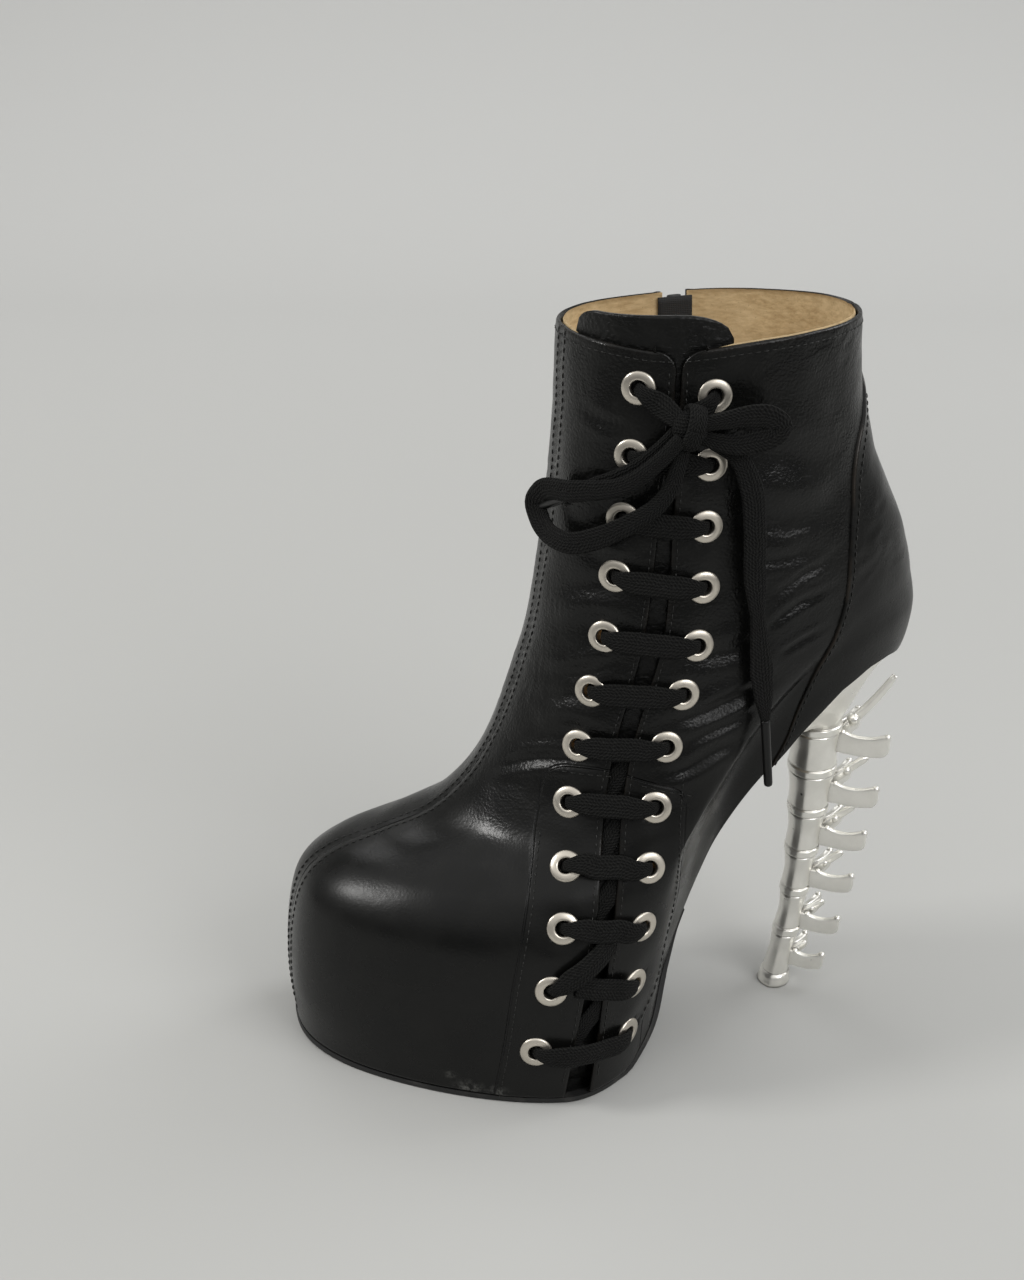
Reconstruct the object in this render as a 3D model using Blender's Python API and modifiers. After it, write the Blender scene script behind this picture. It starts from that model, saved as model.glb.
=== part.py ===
"""Left heeled platform boot: a side-laced leather upper, a platform sole and a cast spine heel.

Sizes are millimetres and become metres when meshes are made.
Frame: toe towards -Y, laced outer side towards +X, +Z up, floor at Z = 0.
The last is drawn about its own heel line, and the finished boot is moved so that the origin
is the middle of its floor outline.
"""

import math

import bmesh
import bpy
import numpy as np
from mathutils import Matrix, Vector
from mathutils.bvhtree import BVHTree

MM = 0.001
FLOOR_MIDDLE = (8.97, -1.59, 0.0)

# Driving sizes of the last
TOE_Y = -110.5
SEAT_Y = 101.0
SEAT_Z = 133.0
TREAD_Z = 2.6
TOE_SPRING_Z = 3.4
BALL_HALF = 49.0
COLLAR_FRONT_Z = 255.0
COLLAR_BACK_Z = 258.5
COLLAR_DIP = 3.0
COLLAR_DIP_WIDTH = 0.45

# Leather, sole and clearances
WALL = 2.2
GAP = 0.3
OUTSOLE = 2.3
INSOLE = 3.0
TONGUE = 1.6
COUNTER = 0.9

# Level sections of the upper, from the sole edge to the collar.
# front and back are the seam points, follow is the share of the sole line's sag, the four
# widths are half widths at STATIONS, and power squares the front end of the section.
LEVEL_COLUMNS = (
    "front_x", "front_y", "front_z", "back_y", "back_z",
    "follow", "ball", "shank", "waist", "heel", "power",
)
LEVELS = (
    (-14.0, TOE_Y, TOE_SPRING_Z, SEAT_Y, SEAT_Z, 1.00, BALL_HALF, 29.5, 25.0, 26.0, 2.7),
    (-14.0, -112.5, 23.0, 105.5, 141.0, 0.93, 49.8, 34.0, 27.5, 27.0, 2.7),
    (-13.5, -111.5, 45.0, 107.5, 149.0, 0.84, 49.0, 39.5, 30.0, 27.0, 2.7),
    (-12.5, -107.0, 61.0, 108.0, 155.0, 0.74, 47.5, 42.5, 32.5, 27.0, 2.65),
    (-11.0, -96.5, 71.0, 107.3, 160.0, 0.62, 44.5, 43.5, 34.5, 26.5, 2.4),
    (-9.5, -79.5, 77.5, 106.0, 165.5, 0.50, 41.0, 42.5, 36.0, 26.0, 2.15),
    (-7.5, -61.5, 85.0, 104.5, 172.0, 0.35, 38.5, 41.0, 36.5, 25.5, 2.1),
    (-5.0, -47.5, 100.0, 102.0, 179.5, 0.20, 37.0, 39.5, 36.5, 25.0, 2.15),
    (-3.5, -37.5, 121.0, 98.5, 189.0, 0.08, 36.3, 38.0, 36.5, 24.5, 2.2),
    (-2.0, -29.0, 149.0, 93.0, 200.5, 0.02, 35.8, 37.0, 36.0, 23.5, 2.4),
    (-1.0, -24.0, 182.0, 87.0, 213.0, 0.0, 35.0, 36.5, 35.5, 22.5, 2.5),
    (0.0, -21.0, 218.0, 82.5, 231.5, 0.0, 35.0, 37.0, 36.0, 22.5, 2.5),
    (0.0, -20.0, COLLAR_FRONT_Z, 80.0, COLLAR_BACK_Z, 0.0, 35.0, 37.5, 36.5, 22.5, 2.5),
)
TOP_LEVEL = len(LEVELS) - 1
STATIONS = (0.285, 0.45, 0.65, 0.90)
BACK_POWER = 2.1

# Side view of the sole edge: y, z from the toe, up the arch, to the back of the heel seat
SOLE_LINE = (
    (TOE_Y, TOE_SPRING_Z), (-94.0, TREAD_Z), (-45.0, TREAD_Z), (-4.0, TREAD_Z), (6.5, 10.5), (14.0, 30.0),
    (23.0, 55.0), (34.5, 82.0), (48.0, 104.0), (61.0, 117.0), (80.0, 126.0), (SEAT_Y, SEAT_Z),
)
# Sideways curve of the foot: place along a section, share of the toe's sideways shift
FOOT_BEND = ((0.0, 1.0), (0.285, -0.60), (0.5, -0.15), (0.65, 0.0), (1.0, 0.0))
# Side view of the insole's underside: y, z
FOOTBED = (
    (-125.0, 38.5), (-60.0, 37.0), (-32.0, 38.5), (0.0, 52.5), (24.0, 81.0), (40.0, 100.0),
    (50.0, 109.4), (56.0, 114.7), (62.0, 118.6), (80.0, 127.0), (112.0, 137.4),
)
PLATFORM_END_Y = 56.0
OUTSOLE_END = 0.575

# Lace rows on the outer side: height, y of the front and back eyelets, width of the gap
LACE_LINE = (
    (0.0, -43.0, -7.0, 10.0),
    (21.0, -39.6, -5.1, 9.5),
    (43.0, -35.0, -3.3, 8.0),
    (83.0, -26.7, 0.6, 6.5),
    (122.0, -19.5, 7.0, 7.0),
    (158.0, -12.0, 17.0, 7.5),
    (200.0, -7.0, 18.6, 5.0),
    (240.0, -3.9, 19.2, 2.4),
    (260.0, -3.6, 19.4, 2.0),
)
# Height of the front and back eyelet of each lace row
EYELET_HEIGHTS = (
    (241.4, 239.3), (219.9, 217.3), (199.0, 197.0), (179.7, 176.8), (159.0, 157.4), (140.0, 140.9),
    (120.7, 123.1), (102.0, 102.8), (83.8, 83.0), (66.6, 62.2), (45.2, 39.9), (22.2, 20.0),
)
EYELET_RADIUS = 5.4
EYELET_BORE = 2.7
EYELET_HEIGHT = 1.2
EYELET_HOLE = 2.9
LACE_WIDTH = 7.4
LACE_THICK = 1.7

# Zip on the inner side: level, angle round the section in degrees
ZIP_LINE = ((0.0, 264.0), (4.0, 265.0), (8.0, 268.0), (12.0, 271.0))
ZIP_END_LEVEL = 6.0
ZIP_SLOT = 9.0
ZIP_TAPE_WIDTH = 12.5
ZIP_TAPE = 0.8
ZIP_COIL_WIDTH = 5.0
ZIP_COIL = 1.9
SLIDER_LEVEL = 11.55
SLIDER_LENGTH = 10.0
SLIDER_WIDTH = 7.0
SLIDER_THICK = 2.4
PULL_AXIS_HEIGHT = 1.1
PULL_THICK = 1.1
PULL_LENGTH = 25.0

# Counter: level, angle of its front edge in degrees (180 is the back seam)
COUNTER_EDGE = ((0.0, 125.0), (4.0, 127.0), (7.0, 126.0), (9.0, 131.0), (10.4, 148.0), (11.0, 166.0))

# Spine heel: height, centre y, radius of the column
COLUMN = (
    (0.0, 68.5, 6.4), (8.0, 69.6, 5.5), (25.0, 72.8, 5.2), (41.0, 74.6, 5.6), (57.0, 76.0, 6.5),
    (73.0, 77.0, 7.7), (89.5, 77.4, 9.2), (106.0, 77.8, 9.7),
)
RING_HEIGHTS = (106.0, 89.5, 73.0, 56.0, 39.5, 22.5)
FLARE_TOP_Z = 9.0
RING_BEAD = 0.5
COLUMN_WAIST = 0.5
CUP_FOOT_Z = 109.0
CUP_CENTRE_Y = 79.0
CUP_FLARE = 1.8
BREAST_Y = 58.0
TIP_HEIGHT = 5.0
BLADE_THICK = 2.5
BLADE_SPLAY = 30.0
SPINE_THICK = 2.2
# Vertebrae: height, then the side blades' length, height and end rise, then the back spine
VERTEBRA_COLUMNS = ("z", "length", "height", "rise", "spine_drop", "spine_slope", "spine_length")
VERTEBRAE = (
    (100.0, 27.0, 8.6, 1.4, 9.7, 47.0, 43.5),
    (79.5, 25.0, 8.2, 1.3, 2.0, 30.0, 25.7),
    (61.5, 23.0, 7.8, 1.2, 2.0, 30.0, 22.5),
    (43.7, 21.0, 7.4, 1.1, 2.0, 30.0, 20.7),
    (25.8, 19.0, 7.0, 1.0, 2.0, 30.0, 16.2),
    (10.3, 17.0, 6.6, 0.9, 2.0, 30.0, 13.0),
)

# Bow of the lace, hand-placed routes off the outer side
KNOT = (42.5, 9.8, 231.5)
KNOT_RADII = (4.6, 6.6, 6.8)
FRONT_LOOP = (
    (44.8, 6.0, 230.5), (39.5, 0.0, 227.0), (34.5, -11.0, 219.5), (20.0, -25.5, 210.5), (-2.0, -31.0, 199.0),
    (2.0, -31.5, 188.0), (22.0, -25.5, 184.5), (35.5, -9.5, 195.0), (40.5, 2.5, 207.5), (42.0, 7.0, 221.5),
    (41.6, 8.0, 226.5),
)
BACK_LOOP = (
    (44.6, 12.5, 233.5), (45.0, 19.0, 234.8), (46.5, 29.0, 236.5), (47.0, 36.5, 235.0), (47.0, 39.5, 231.0),
    (47.0, 36.5, 226.5), (46.0, 29.0, 224.5), (44.0, 20.0, 226.3), (42.2, 12.5, 228.5),
)
LONG_END = (
    (39.8, 12.0, 229.0), (41.2, 18.0, 226.0), (42.4, 25.5, 221.0), (43.0, 30.0, 212.0), (42.8, 32.4, 198.0),
    (43.0, 33.4, 182.0), (43.6, 35.3, 166.0), (44.1, 37.7, 147.0), (44.6, 39.6, 131.5),
)
SHORT_END = (
    (40.0, 6.5, 231.8), (36.6, 1.6, 230.3), (33.7, -5.3, 227.2), (29.4, -12.1, 220.2), (22.5, -18.8, 213.4),
    (18.3, -21.5, 209.5),
)
LONG_AGLET = ((44.61, 39.63, 131.3), (44.8, 42.3, 107.0))
SHORT_AGLET = ((17.9, -21.75, 209.1), (3.5, -28.5, 197.0))
KNOT_CLEARANCE = 0.12
AGLET_RADIUS = 1.7

COLLECTIONS = {}


def weights(stations, at, flat_ends=False):
    """Share of each station's value in a smooth curve through the stations, at each place."""
    xs = np.asarray(stations, float)
    shares = np.eye(len(xs))
    slopes = np.gradient(shares, xs, axis=0)
    if flat_ends:
        slopes[[0, -1]] = 0
    at = np.clip(np.asarray(at, float), xs[0], xs[-1])
    i = np.clip(np.searchsorted(xs, at, side="right") - 1, 0, len(xs) - 2)
    step = (xs[i + 1] - xs[i])[..., None]
    t = (at - xs[i])[..., None] / step
    start = (1 + 2 * t) * (1 - t) ** 2 * shares[i] + t * (1 - t) ** 2 * step * slopes[i]
    end = t * t * (3 - 2 * t) * shares[i + 1] + t * t * (t - 1) * step * slopes[i + 1]
    return start + end


def through(table, at):
    """Columns after the first of a table, read along its first column."""
    rows = np.asarray(table, float)
    values = weights(rows[:, 0], at) @ rows[:, 1:]
    return values[..., 0] if rows.shape[1] == 2 else values


def unit(vectors):
    return vectors / np.linalg.norm(vectors, axis=-1, keepdims=True)


def route(points, spacing):
    """Points spaced evenly along a smooth curve through hand-placed points."""
    points = np.asarray(points, float)
    chord = np.concatenate([[0], np.cumsum(np.linalg.norm(np.diff(points, axis=0), axis=1))])
    fine = weights(chord, np.linspace(0, chord[-1], 400)) @ points
    run = np.concatenate([[0], np.cumsum(np.linalg.norm(np.diff(fine, axis=0), axis=1))])
    even = np.linspace(0, run[-1], max(2, round(run[-1] / spacing) + 1))
    return np.stack([np.interp(even, run, fine[:, k]) for k in range(points.shape[1])], -1)


SOLE_FINE = route(SOLE_LINE, 0.5)
SOLE_FINE[:, 1] = np.maximum(SOLE_FINE[:, 1], TREAD_Z)
SOLE_RUN = np.linspace(0, 1, len(SOLE_FINE))


def sole_at(along):
    """y, z of the sole edge at a share of its length."""
    return np.stack([np.interp(along, SOLE_RUN, SOLE_FINE[:, k]) for k in (0, 1)], -1)


def rounding(along, front_power, back_power):
    """Share of the full half width that the rounded ends of a section leave."""
    off_middle = 1 - 2 * along
    power = np.where(off_middle > 0, front_power, back_power)
    return np.maximum(1 - np.abs(off_middle) ** power, 0) ** (1 / power)


def skin(theta, level):
    """Outer skin. theta is 0 at the front seam, pi at the back seam, and under pi on the outer side."""
    theta, level = np.broadcast_arrays(np.asarray(theta, float), np.asarray(level, float))
    shape = theta.shape
    theta, level = theta.ravel() % (2 * np.pi), level.ravel()
    table = weights(np.arange(len(LEVELS)), level) @ np.array(LEVELS)
    row = {name: table[:, k] for k, name in enumerate(LEVEL_COLUMNS)}
    along = 0.5 - 0.5 * np.cos(theta)
    front = np.stack([row["front_y"], row["front_z"]], -1)
    back = np.stack([row["back_y"], row["back_z"]], -1)
    sole_start, sole_end = np.array(SOLE_LINE[0]), np.array(SOLE_LINE[-1])
    sag = sole_at(along) - (sole_start + (sole_end - sole_start) * along[:, None])
    side_view = front + (back - front) * along[:, None] + row["follow"][:, None] * sag
    full = [row[name] / rounding(np.array(station), row["power"], BACK_POWER)
            for name, station in zip(("ball", "shank", "waist", "heel"), STATIONS)]
    half = (weights(STATIONS, along, flat_ends=True) * np.stack(full, -1)).sum(-1)
    half *= rounding(along, row["power"], BACK_POWER)
    x = row["front_x"] * through(FOOT_BEND, along) + np.where(theta < np.pi, half, -half)
    lace_angle = math.radians(62.0)
    dip = COLLAR_DIP * np.exp(-(((theta - lace_angle) / COLLAR_DIP_WIDTH) ** 2))
    z = side_view[:, 1] - dip * np.clip(level - TOP_LEVEL + 1, 0, 1) ** 2
    return np.stack([x, side_view[:, 0], z], -1).reshape(*shape, 3)


def skin_normal(theta, level):
    step = 1e-3
    low, high = np.clip(level - step, 0, TOP_LEVEL), np.clip(level + step, 0, TOP_LEVEL)
    around = skin(theta + step, level) - skin(theta - step, level)
    return unit(np.cross(around, skin(theta, high) - skin(theta, low)))


def under_skin(theta, level, depth):
    """Point this deep under the outer skin, or above it where depth is negative."""
    return skin(theta, level) - depth * skin_normal(theta, level)


def lace_angles(level):
    """Angles of the front and back edges of the lace gap at a level."""
    theta = np.linspace(0.3, 2.4, 400)
    points = skin(theta, level)
    line = through(LACE_LINE, points[:, 2])
    middle = float(np.interp(0, points[:, 1] - (line[:, 0] + line[:, 1]) / 2, theta))
    gap = float(np.interp(middle, theta, line[:, 2]))
    speed = np.linalg.norm(skin(middle + 0.01, level) - skin(middle - 0.01, level)) / 0.02
    return middle - gap / 2 / speed, middle + gap / 2 / speed


def zip_angles(level, width):
    """Angles of the two edges of a strip of this width on the zip's line."""
    middle = math.radians(float(through(ZIP_LINE, level)))
    around = (skin(middle + 0.01, level) - skin(middle - 0.01, level)) / 0.02
    climb = zip_frame(level)[2]
    across = np.linalg.norm(around - climb * (around @ climb))
    return middle - width / 2 / across, middle + width / 2 / across


def material(name, colour, roughness, metallic=0.0):
    made = bpy.data.materials.new(name)
    made.use_nodes = True
    shader = made.node_tree.nodes["Principled BSDF"]
    shader.inputs["Base Color"].default_value = (*colour, 1.0)
    shader.inputs["Roughness"].default_value = roughness
    shader.inputs["Metallic"].default_value = metallic
    return made


def add_object(name, mesh, finish=None):
    """Puts a mesh in the boot's collection, or among the cutters where it has no finish."""
    item = bpy.data.objects.new(name, mesh)
    COLLECTIONS["boot" if finish else "cutters"].objects.link(item)
    if finish:
        mesh.materials.append(finish)
        mesh.shade_smooth()
        mesh.set_sharp_from_angle(angle=math.radians(35))
    else:
        item.hide_render = True
        item.display_type = "WIRE"
    return item


def mesh_from(name, points, faces):
    mesh = bpy.data.meshes.new(name)
    mesh.from_pydata([tuple(p) for p in np.asarray(points) * MM], [], [tuple(f) for f in faces])
    mesh.validate()
    return mesh


def grid_faces(rows, columns, closed=False):
    ends = columns if closed else columns - 1
    return [
        (r * columns + c, r * columns + (c + 1) % columns,
         (r + 1) * columns + (c + 1) % columns, (r + 1) * columns + c)
        for r in range(rows - 1) for c in range(ends)
    ]


def halves(faces):
    """Each four-sided face as two triangles, always split the same way."""
    return [half for a, b, c, d in faces for half in ((a, b, c), (a, c, d))]


def sheet(name, grid, thickness, finish=None, dropped=()):
    """Open surface through a grid of points, thickened inwards, or outwards where thickness is negative."""
    rows, columns = grid.shape[:2]
    faces = [f for k, f in enumerate(grid_faces(rows, columns)) if k not in dropped]
    item = add_object(name, mesh_from(name, grid.reshape(-1, 3), halves(faces)), finish)
    solid = item.modifiers.new("thickness", "SOLIDIFY")
    solid.thickness = abs(thickness) * MM
    solid.offset = -1.0 if thickness > 0 else 1.0
    solid.use_even_offset = True
    return item


def loft(name, sections, finish=None, mirrored=False):
    """Closed body through sections of equal point counts.

    Sections whose first point lies on their mirror line get an end made of strips from side to side.
    """
    sections = np.asarray(sections, float)
    count, size = sections.shape[:2]
    faces = grid_faces(count, size, closed=True)
    ends = [tuple(range(size))]
    if mirrored:
        ends = [tuple(dict.fromkeys((k, k + 1, size - k - 1, (size - k) % size))) for k in range(size // 2)]
    faces += [tuple(reversed(end)) for end in ends]
    faces += [tuple((count - 1) * size + k for k in end) for end in ends]
    mesh = mesh_from(name, sections.reshape(-1, 3), faces)
    shape = bmesh.new()
    shape.from_mesh(mesh)
    bmesh.ops.recalc_face_normals(shape, faces=shape.faces)
    shape.to_mesh(mesh)
    shape.free()
    return add_object(name, mesh, finish)


def ribbon(name, points, sides, widths, thickness, finish):
    """Flat lace along points, with its width along sides."""
    points, sides = np.asarray(points, float), unit(np.asarray(sides, float))
    faces_out = unit(np.cross(unit(np.gradient(points, axis=0)), sides))
    half = np.asarray(widths, float).reshape(-1, 1) / 2 * sides
    thick = faces_out * thickness / 2
    corners = [points - half - thick, points + half - thick, points + half + thick, points - half + thick]
    return loft(name, np.stack(corners, 1), finish)


def plate(name, outlines, thickness, place, finish=None):
    """Flat outline, with holes where more outlines follow, of this thickness, put in place by a matrix."""
    curve = bpy.data.curves.new(name, "CURVE")
    curve.dimensions = "2D"
    curve.fill_mode = "BOTH"
    curve.extrude = thickness / 2 * MM
    for outline in outlines:
        spline = curve.splines.new("POLY")
        spline.points.add(len(outline) - 1)
        for point, (u, v) in zip(spline.points, outline):
            point.co = (u * MM, v * MM, 0.0, 1.0)
        spline.use_cyclic_u = True
    guide = bpy.data.objects.new(name + "_outline", curve)
    bpy.context.scene.collection.objects.link(guide)
    bpy.context.view_layer.update()
    mesh = bpy.data.meshes.new_from_object(guide.evaluated_get(bpy.context.evaluated_depsgraph_get()))
    bpy.data.objects.remove(guide)
    bpy.data.curves.remove(curve)
    mesh.name = name
    mesh.materials.clear()
    shape = bmesh.new()
    shape.from_mesh(mesh)
    bmesh.ops.remove_doubles(shape, verts=shape.verts, dist=1e-6)
    bmesh.ops.transform(shape, matrix=place, verts=shape.verts)
    bmesh.ops.recalc_face_normals(shape, faces=shape.faces)
    shape.to_mesh(mesh)
    shape.free()
    return add_object(name, mesh, finish)


def boolean(item, operation, other):
    step = item.modifiers.new(operation.lower() + "_" + other.name, "BOOLEAN")
    step.operation = operation
    step.object = other


def frame_matrix(origin, x_axis, y_axis, z_axis):
    """Matrix from millimetre-named axes: local x, y, z to the given directions, at origin."""
    columns = Matrix([x_axis, y_axis, z_axis]).transposed().to_4x4()
    return Matrix.Translation(Vector(origin) * MM) @ columns


SIDE_VIEW = Matrix(((0, 0, 1, 0), (1, 0, 0, 0), (0, 1, 0, 0), (0, 0, 0, 1)))


def upper_angles(level):
    """Angles of the upper's columns, from the back edge of the lace gap round to its front edge."""
    lace_front, lace_back = lace_angles(level)
    zip_back, zip_front = zip_angles(level, ZIP_SLOT)
    arch = math.radians(ARCH_ANGLE)
    stops = (
        lace_back, arch, np.pi, zip_back, zip_front, 2 * np.pi - 0.7 * arch, 2 * np.pi,
        2 * np.pi + lace_front,
    )
    parts = [np.linspace(a, b, n + 1)[:-1] for a, b, n in zip(stops, stops[1:], UPPER_COLUMNS)]
    return np.concatenate([*parts, [stops[-1]]])


UPPER_LEVELS = (0, 0.7, 1.5, 2.1, 2.7, 3.3, 3.9, 4.5, 5.2, ZIP_END_LEVEL, 7, 8, 9, 10, 11, 12)
UPPER_COLUMNS = (7, 6, 6, 1, 5, 7, 8)
ARCH_ANGLE = 100.0
BACK_SEAM = sum(UPPER_COLUMNS[:2])


def upper_grid():
    theta = np.stack([upper_angles(level) for level in UPPER_LEVELS])
    return skin(theta, np.array(UPPER_LEVELS)[:, None])


def build_upper(grid, eyelets, finish):
    rows, columns = grid.shape[:2]
    slot = sum(UPPER_COLUMNS[:3])
    first_open = UPPER_LEVELS.index(ZIP_END_LEVEL)
    dropped = {r * (columns - 1) + slot for r in range(first_open, rows - 1)}
    upper = sheet("upper", grid, WALL, finish, dropped)
    punch = bmesh.new()
    for eyelet in eyelets:
        turn = Vector(eyelet["out"]).to_track_quat("Z", "Y").to_matrix().to_4x4()
        place = Matrix.Translation(Vector(eyelet["point"]) * MM) @ turn
        bmesh.ops.create_cone(
            punch, cap_ends=True, segments=10, radius1=EYELET_HOLE * MM, radius2=EYELET_HOLE * MM,
            depth=5 * WALL * MM, matrix=place,
        )
    mesh = bpy.data.meshes.new("eyelet_punch")
    punch.to_mesh(mesh)
    punch.free()
    boolean(upper, "DIFFERENCE", add_object("eyelet_punch", mesh))


def find_eyelets(tree):
    """Where each ring sits on the faceted wall: its centre, outward direction and seat height."""
    found = []
    for row, heights in enumerate(EYELET_HEIGHTS):
        for column, (side, z) in enumerate(zip(("front", "back"), heights)):
            y = through(LACE_LINE, z)[column]
            centre = tree.ray_cast(Vector((200, y, z)), Vector((-1, 0, 0)))[0]
            rim = []
            for reach in np.linspace(0.35, 1.05, 4) * EYELET_RADIUS:
                for turn in np.linspace(0, 2 * np.pi, 25)[:-1]:
                    start = Vector((200, y + reach * math.cos(turn), z + reach * math.sin(turn)))
                    rim.append(tree.ray_cast(start, Vector((-1, 0, 0)))[0])
            spread = np.array([p - centre for p in rim])
            out = np.linalg.svd(spread - spread.mean(0))[2][2]
            out = out if out[0] > 0 else -out
            found.append({
                "name": f"eyelet_{side}_{row + 1:02d}", "row": row, "side": side, "point": np.array(centre),
                "out": out, "seat": max(0.0, float((spread @ out).max())) + GAP,
            })
    return found


def build_eyelets(eyelets, finish):
    profile = (
        (EYELET_BORE, EYELET_HEIGHT * 0.75), (4.0, EYELET_HEIGHT), (EYELET_RADIUS, 0.0), (EYELET_BORE, 0.0),
    )
    count = len(profile)
    mesh = mesh_from("eyelet", [(r, 0, h) for r, h in profile], [])
    shape = bmesh.new()
    shape.from_mesh(mesh)
    shape.verts.ensure_lookup_table()
    for k in range(count):
        shape.edges.new((shape.verts[k], shape.verts[(k + 1) % count]))
    shape.to_mesh(mesh)
    shape.free()
    mesh.materials.append(finish)
    for eyelet in eyelets:
        ring = bpy.data.objects.new(eyelet["name"], mesh)
        COLLECTIONS["boot"].objects.link(ring)
        ring.location = Vector(eyelet["point"] + eyelet["out"] * eyelet["seat"]) * MM
        ring.rotation_euler = Vector(eyelet["out"]).to_track_quat("Z", "Y").to_euler()
        turned = ring.modifiers.new("turned", "SCREW")
        turned.axis = "Z"
        turned.steps = turned.render_steps = 10
        turned.use_merge_vertices = True
        turned.merge_threshold = 0.00001


def build_lace_bars(eyelets, whole, finish):
    """One bar across each pair, over the rings and down into their holes."""
    stops = ((0.0, 0.35, 3.2), (0.9, 1.75, 3.2), (2.9, 2.55, 5.0), (5.6, 2.6, LACE_WIDTH))
    for front, back in zip(eyelets[::2], eyelets[1::2]):
        span = back["point"] - front["point"]
        length = np.linalg.norm(span)
        across = span / length
        points, widths, sides = [], [], []
        for end, way in ((front, across), (back, -across)):
            way = unit(way - end["out"] * (way @ end["out"]))
            for reach, height, width in stops if end is front else stops[::-1]:
                points.append(end["point"] + way * reach + end["out"] * (end["seat"] + height))
                widths.append(width)
                sides.append(np.cross(end["out"], across))
            if end is front:
                out = unit(front["out"] + back["out"])
                for share in (0.35, 0.5, 0.65):
                    start = Vector(front["point"] + span * share + out * 40)
                    hit = whole.ray_cast(start, Vector(-out))[0]
                    points.append(np.array(hit) + out * 2.5)
                    widths.append(LACE_WIDTH)
                    sides.append(np.cross(out, across))
        ribbon(f"lace_bar_{front['row'] + 1:02d}", points, sides, widths, LACE_THICK, finish)


def build_bow(whole, lace, tip):
    bow_width = 6.4
    solids = {}
    for name, grown in (("lace_knot", 0.0), ("knot_clearance", KNOT_CLEARANCE)):
        knot = bmesh.new()
        scale = Matrix.Diagonal((*[(r + grown) * MM for r in KNOT_RADII], 1.0))
        bmesh.ops.create_uvsphere(knot, u_segments=12, v_segments=8, radius=1.0,
                                  matrix=Matrix.Translation(Vector(KNOT) * MM) @ scale)
        mesh = bpy.data.meshes.new(name)
        knot.to_mesh(mesh)
        knot.free()
        solids[name] = add_object(name, mesh, None if grown else lace)
    strands = (("lace_loop_front", FRONT_LOOP), ("lace_loop_back", BACK_LOOP),
               ("lace_end_long", LONG_END), ("lace_end_short", SHORT_END))
    for name, points in strands:
        line = route(points, 5.0)
        outs = np.array([p - np.array(whole.find_nearest(Vector(p))[0]) for p in line])
        sides = np.cross(unit(outs), unit(np.gradient(line, axis=0)))
        strand = ribbon(name, line, sides, np.full(len(line), bow_width), LACE_THICK, lace)
        boolean(strand, "DIFFERENCE", solids["knot_clearance"])
    for name, (start, end) in (("lace_aglet_long", LONG_AGLET), ("lace_aglet_short", SHORT_AGLET)):
        start, end = Vector(start) * MM, Vector(end) * MM
        turn = (end - start).to_track_quat("Z", "Y").to_matrix().to_4x4()
        rod = bmesh.new()
        bmesh.ops.create_cone(rod, cap_ends=True, segments=10,
                              radius1=AGLET_RADIUS * MM, radius2=AGLET_RADIUS * MM,
                              depth=(end - start).length, matrix=Matrix.Translation((start + end) / 2) @ turn)
        mesh = bpy.data.meshes.new(name)
        rod.to_mesh(mesh)
        rod.free()
        add_object(name, mesh, tip)


def tongue_grid(depth, lowest, extra, rise):
    """Grid of the strip behind the lace gap, with rows above the collar where rise is given."""
    levels = np.array([lowest, *UPPER_LEVELS[1:]], float)
    rows = []
    for level in levels:
        middle = sum(lace_angles(level)) / 2
        speed = np.linalg.norm(skin(middle + 0.01, level) - skin(middle - 0.01, level)) / 0.02
        front_reach = 20.0 + 16.0 * (level / TOP_LEVEL) ** 3 + extra
        ends = middle - front_reach / speed, middle + (16.0 + extra) / speed
        theta = np.linspace(*ends, 7)
        slack = 1.1 * np.clip(6.0 - level, 0, 1)
        rows.append(under_skin(theta, np.full(7, level), depth + slack))
    if rise:
        corner = 1 - np.array([0.15, 0, 0, 0, 0, 0.2, 0.75])
        for share in (0.5, 1.0):
            lifted = rows[len(levels) - 1] + COLLAR_DIP * np.array([0, 0, 1]) * share
            rows.append(lifted + np.outer(corner * rise * share, (0, 0, 1)))
    return np.stack(rows)


def core_body(name):
    """Solid inside of the upper, from under the floor to above the footbed, on the wall's own columns."""
    levels = np.array([level for level in UPPER_LEVELS if level < 9.0], float)
    theta = np.stack([upper_angles(level) for level in levels])
    slack = 0.6 * np.clip(2.0 - levels, 0, 1)
    grid = under_skin(theta, np.repeat(levels[:, None], theta.shape[1], 1), (WALL + GAP + slack)[:, None, None])
    foot = grid[0].copy()
    foot[:, 2] = -30.0
    grid = np.concatenate([foot[None], grid])
    rows, columns = grid.shape[:2]
    faces = halves(grid_faces(rows, columns, closed=True))
    faces.append(tuple(reversed(range(columns))))
    faces.append(tuple((rows - 1) * columns + k for k in range(columns)))
    mesh = mesh_from(name, grid.reshape(-1, 3), faces)
    shape = bmesh.new()
    shape.from_mesh(mesh)
    bmesh.ops.recalc_face_normals(shape, faces=shape.faces)
    shape.to_mesh(mesh)
    shape.free()
    return mesh


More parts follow.
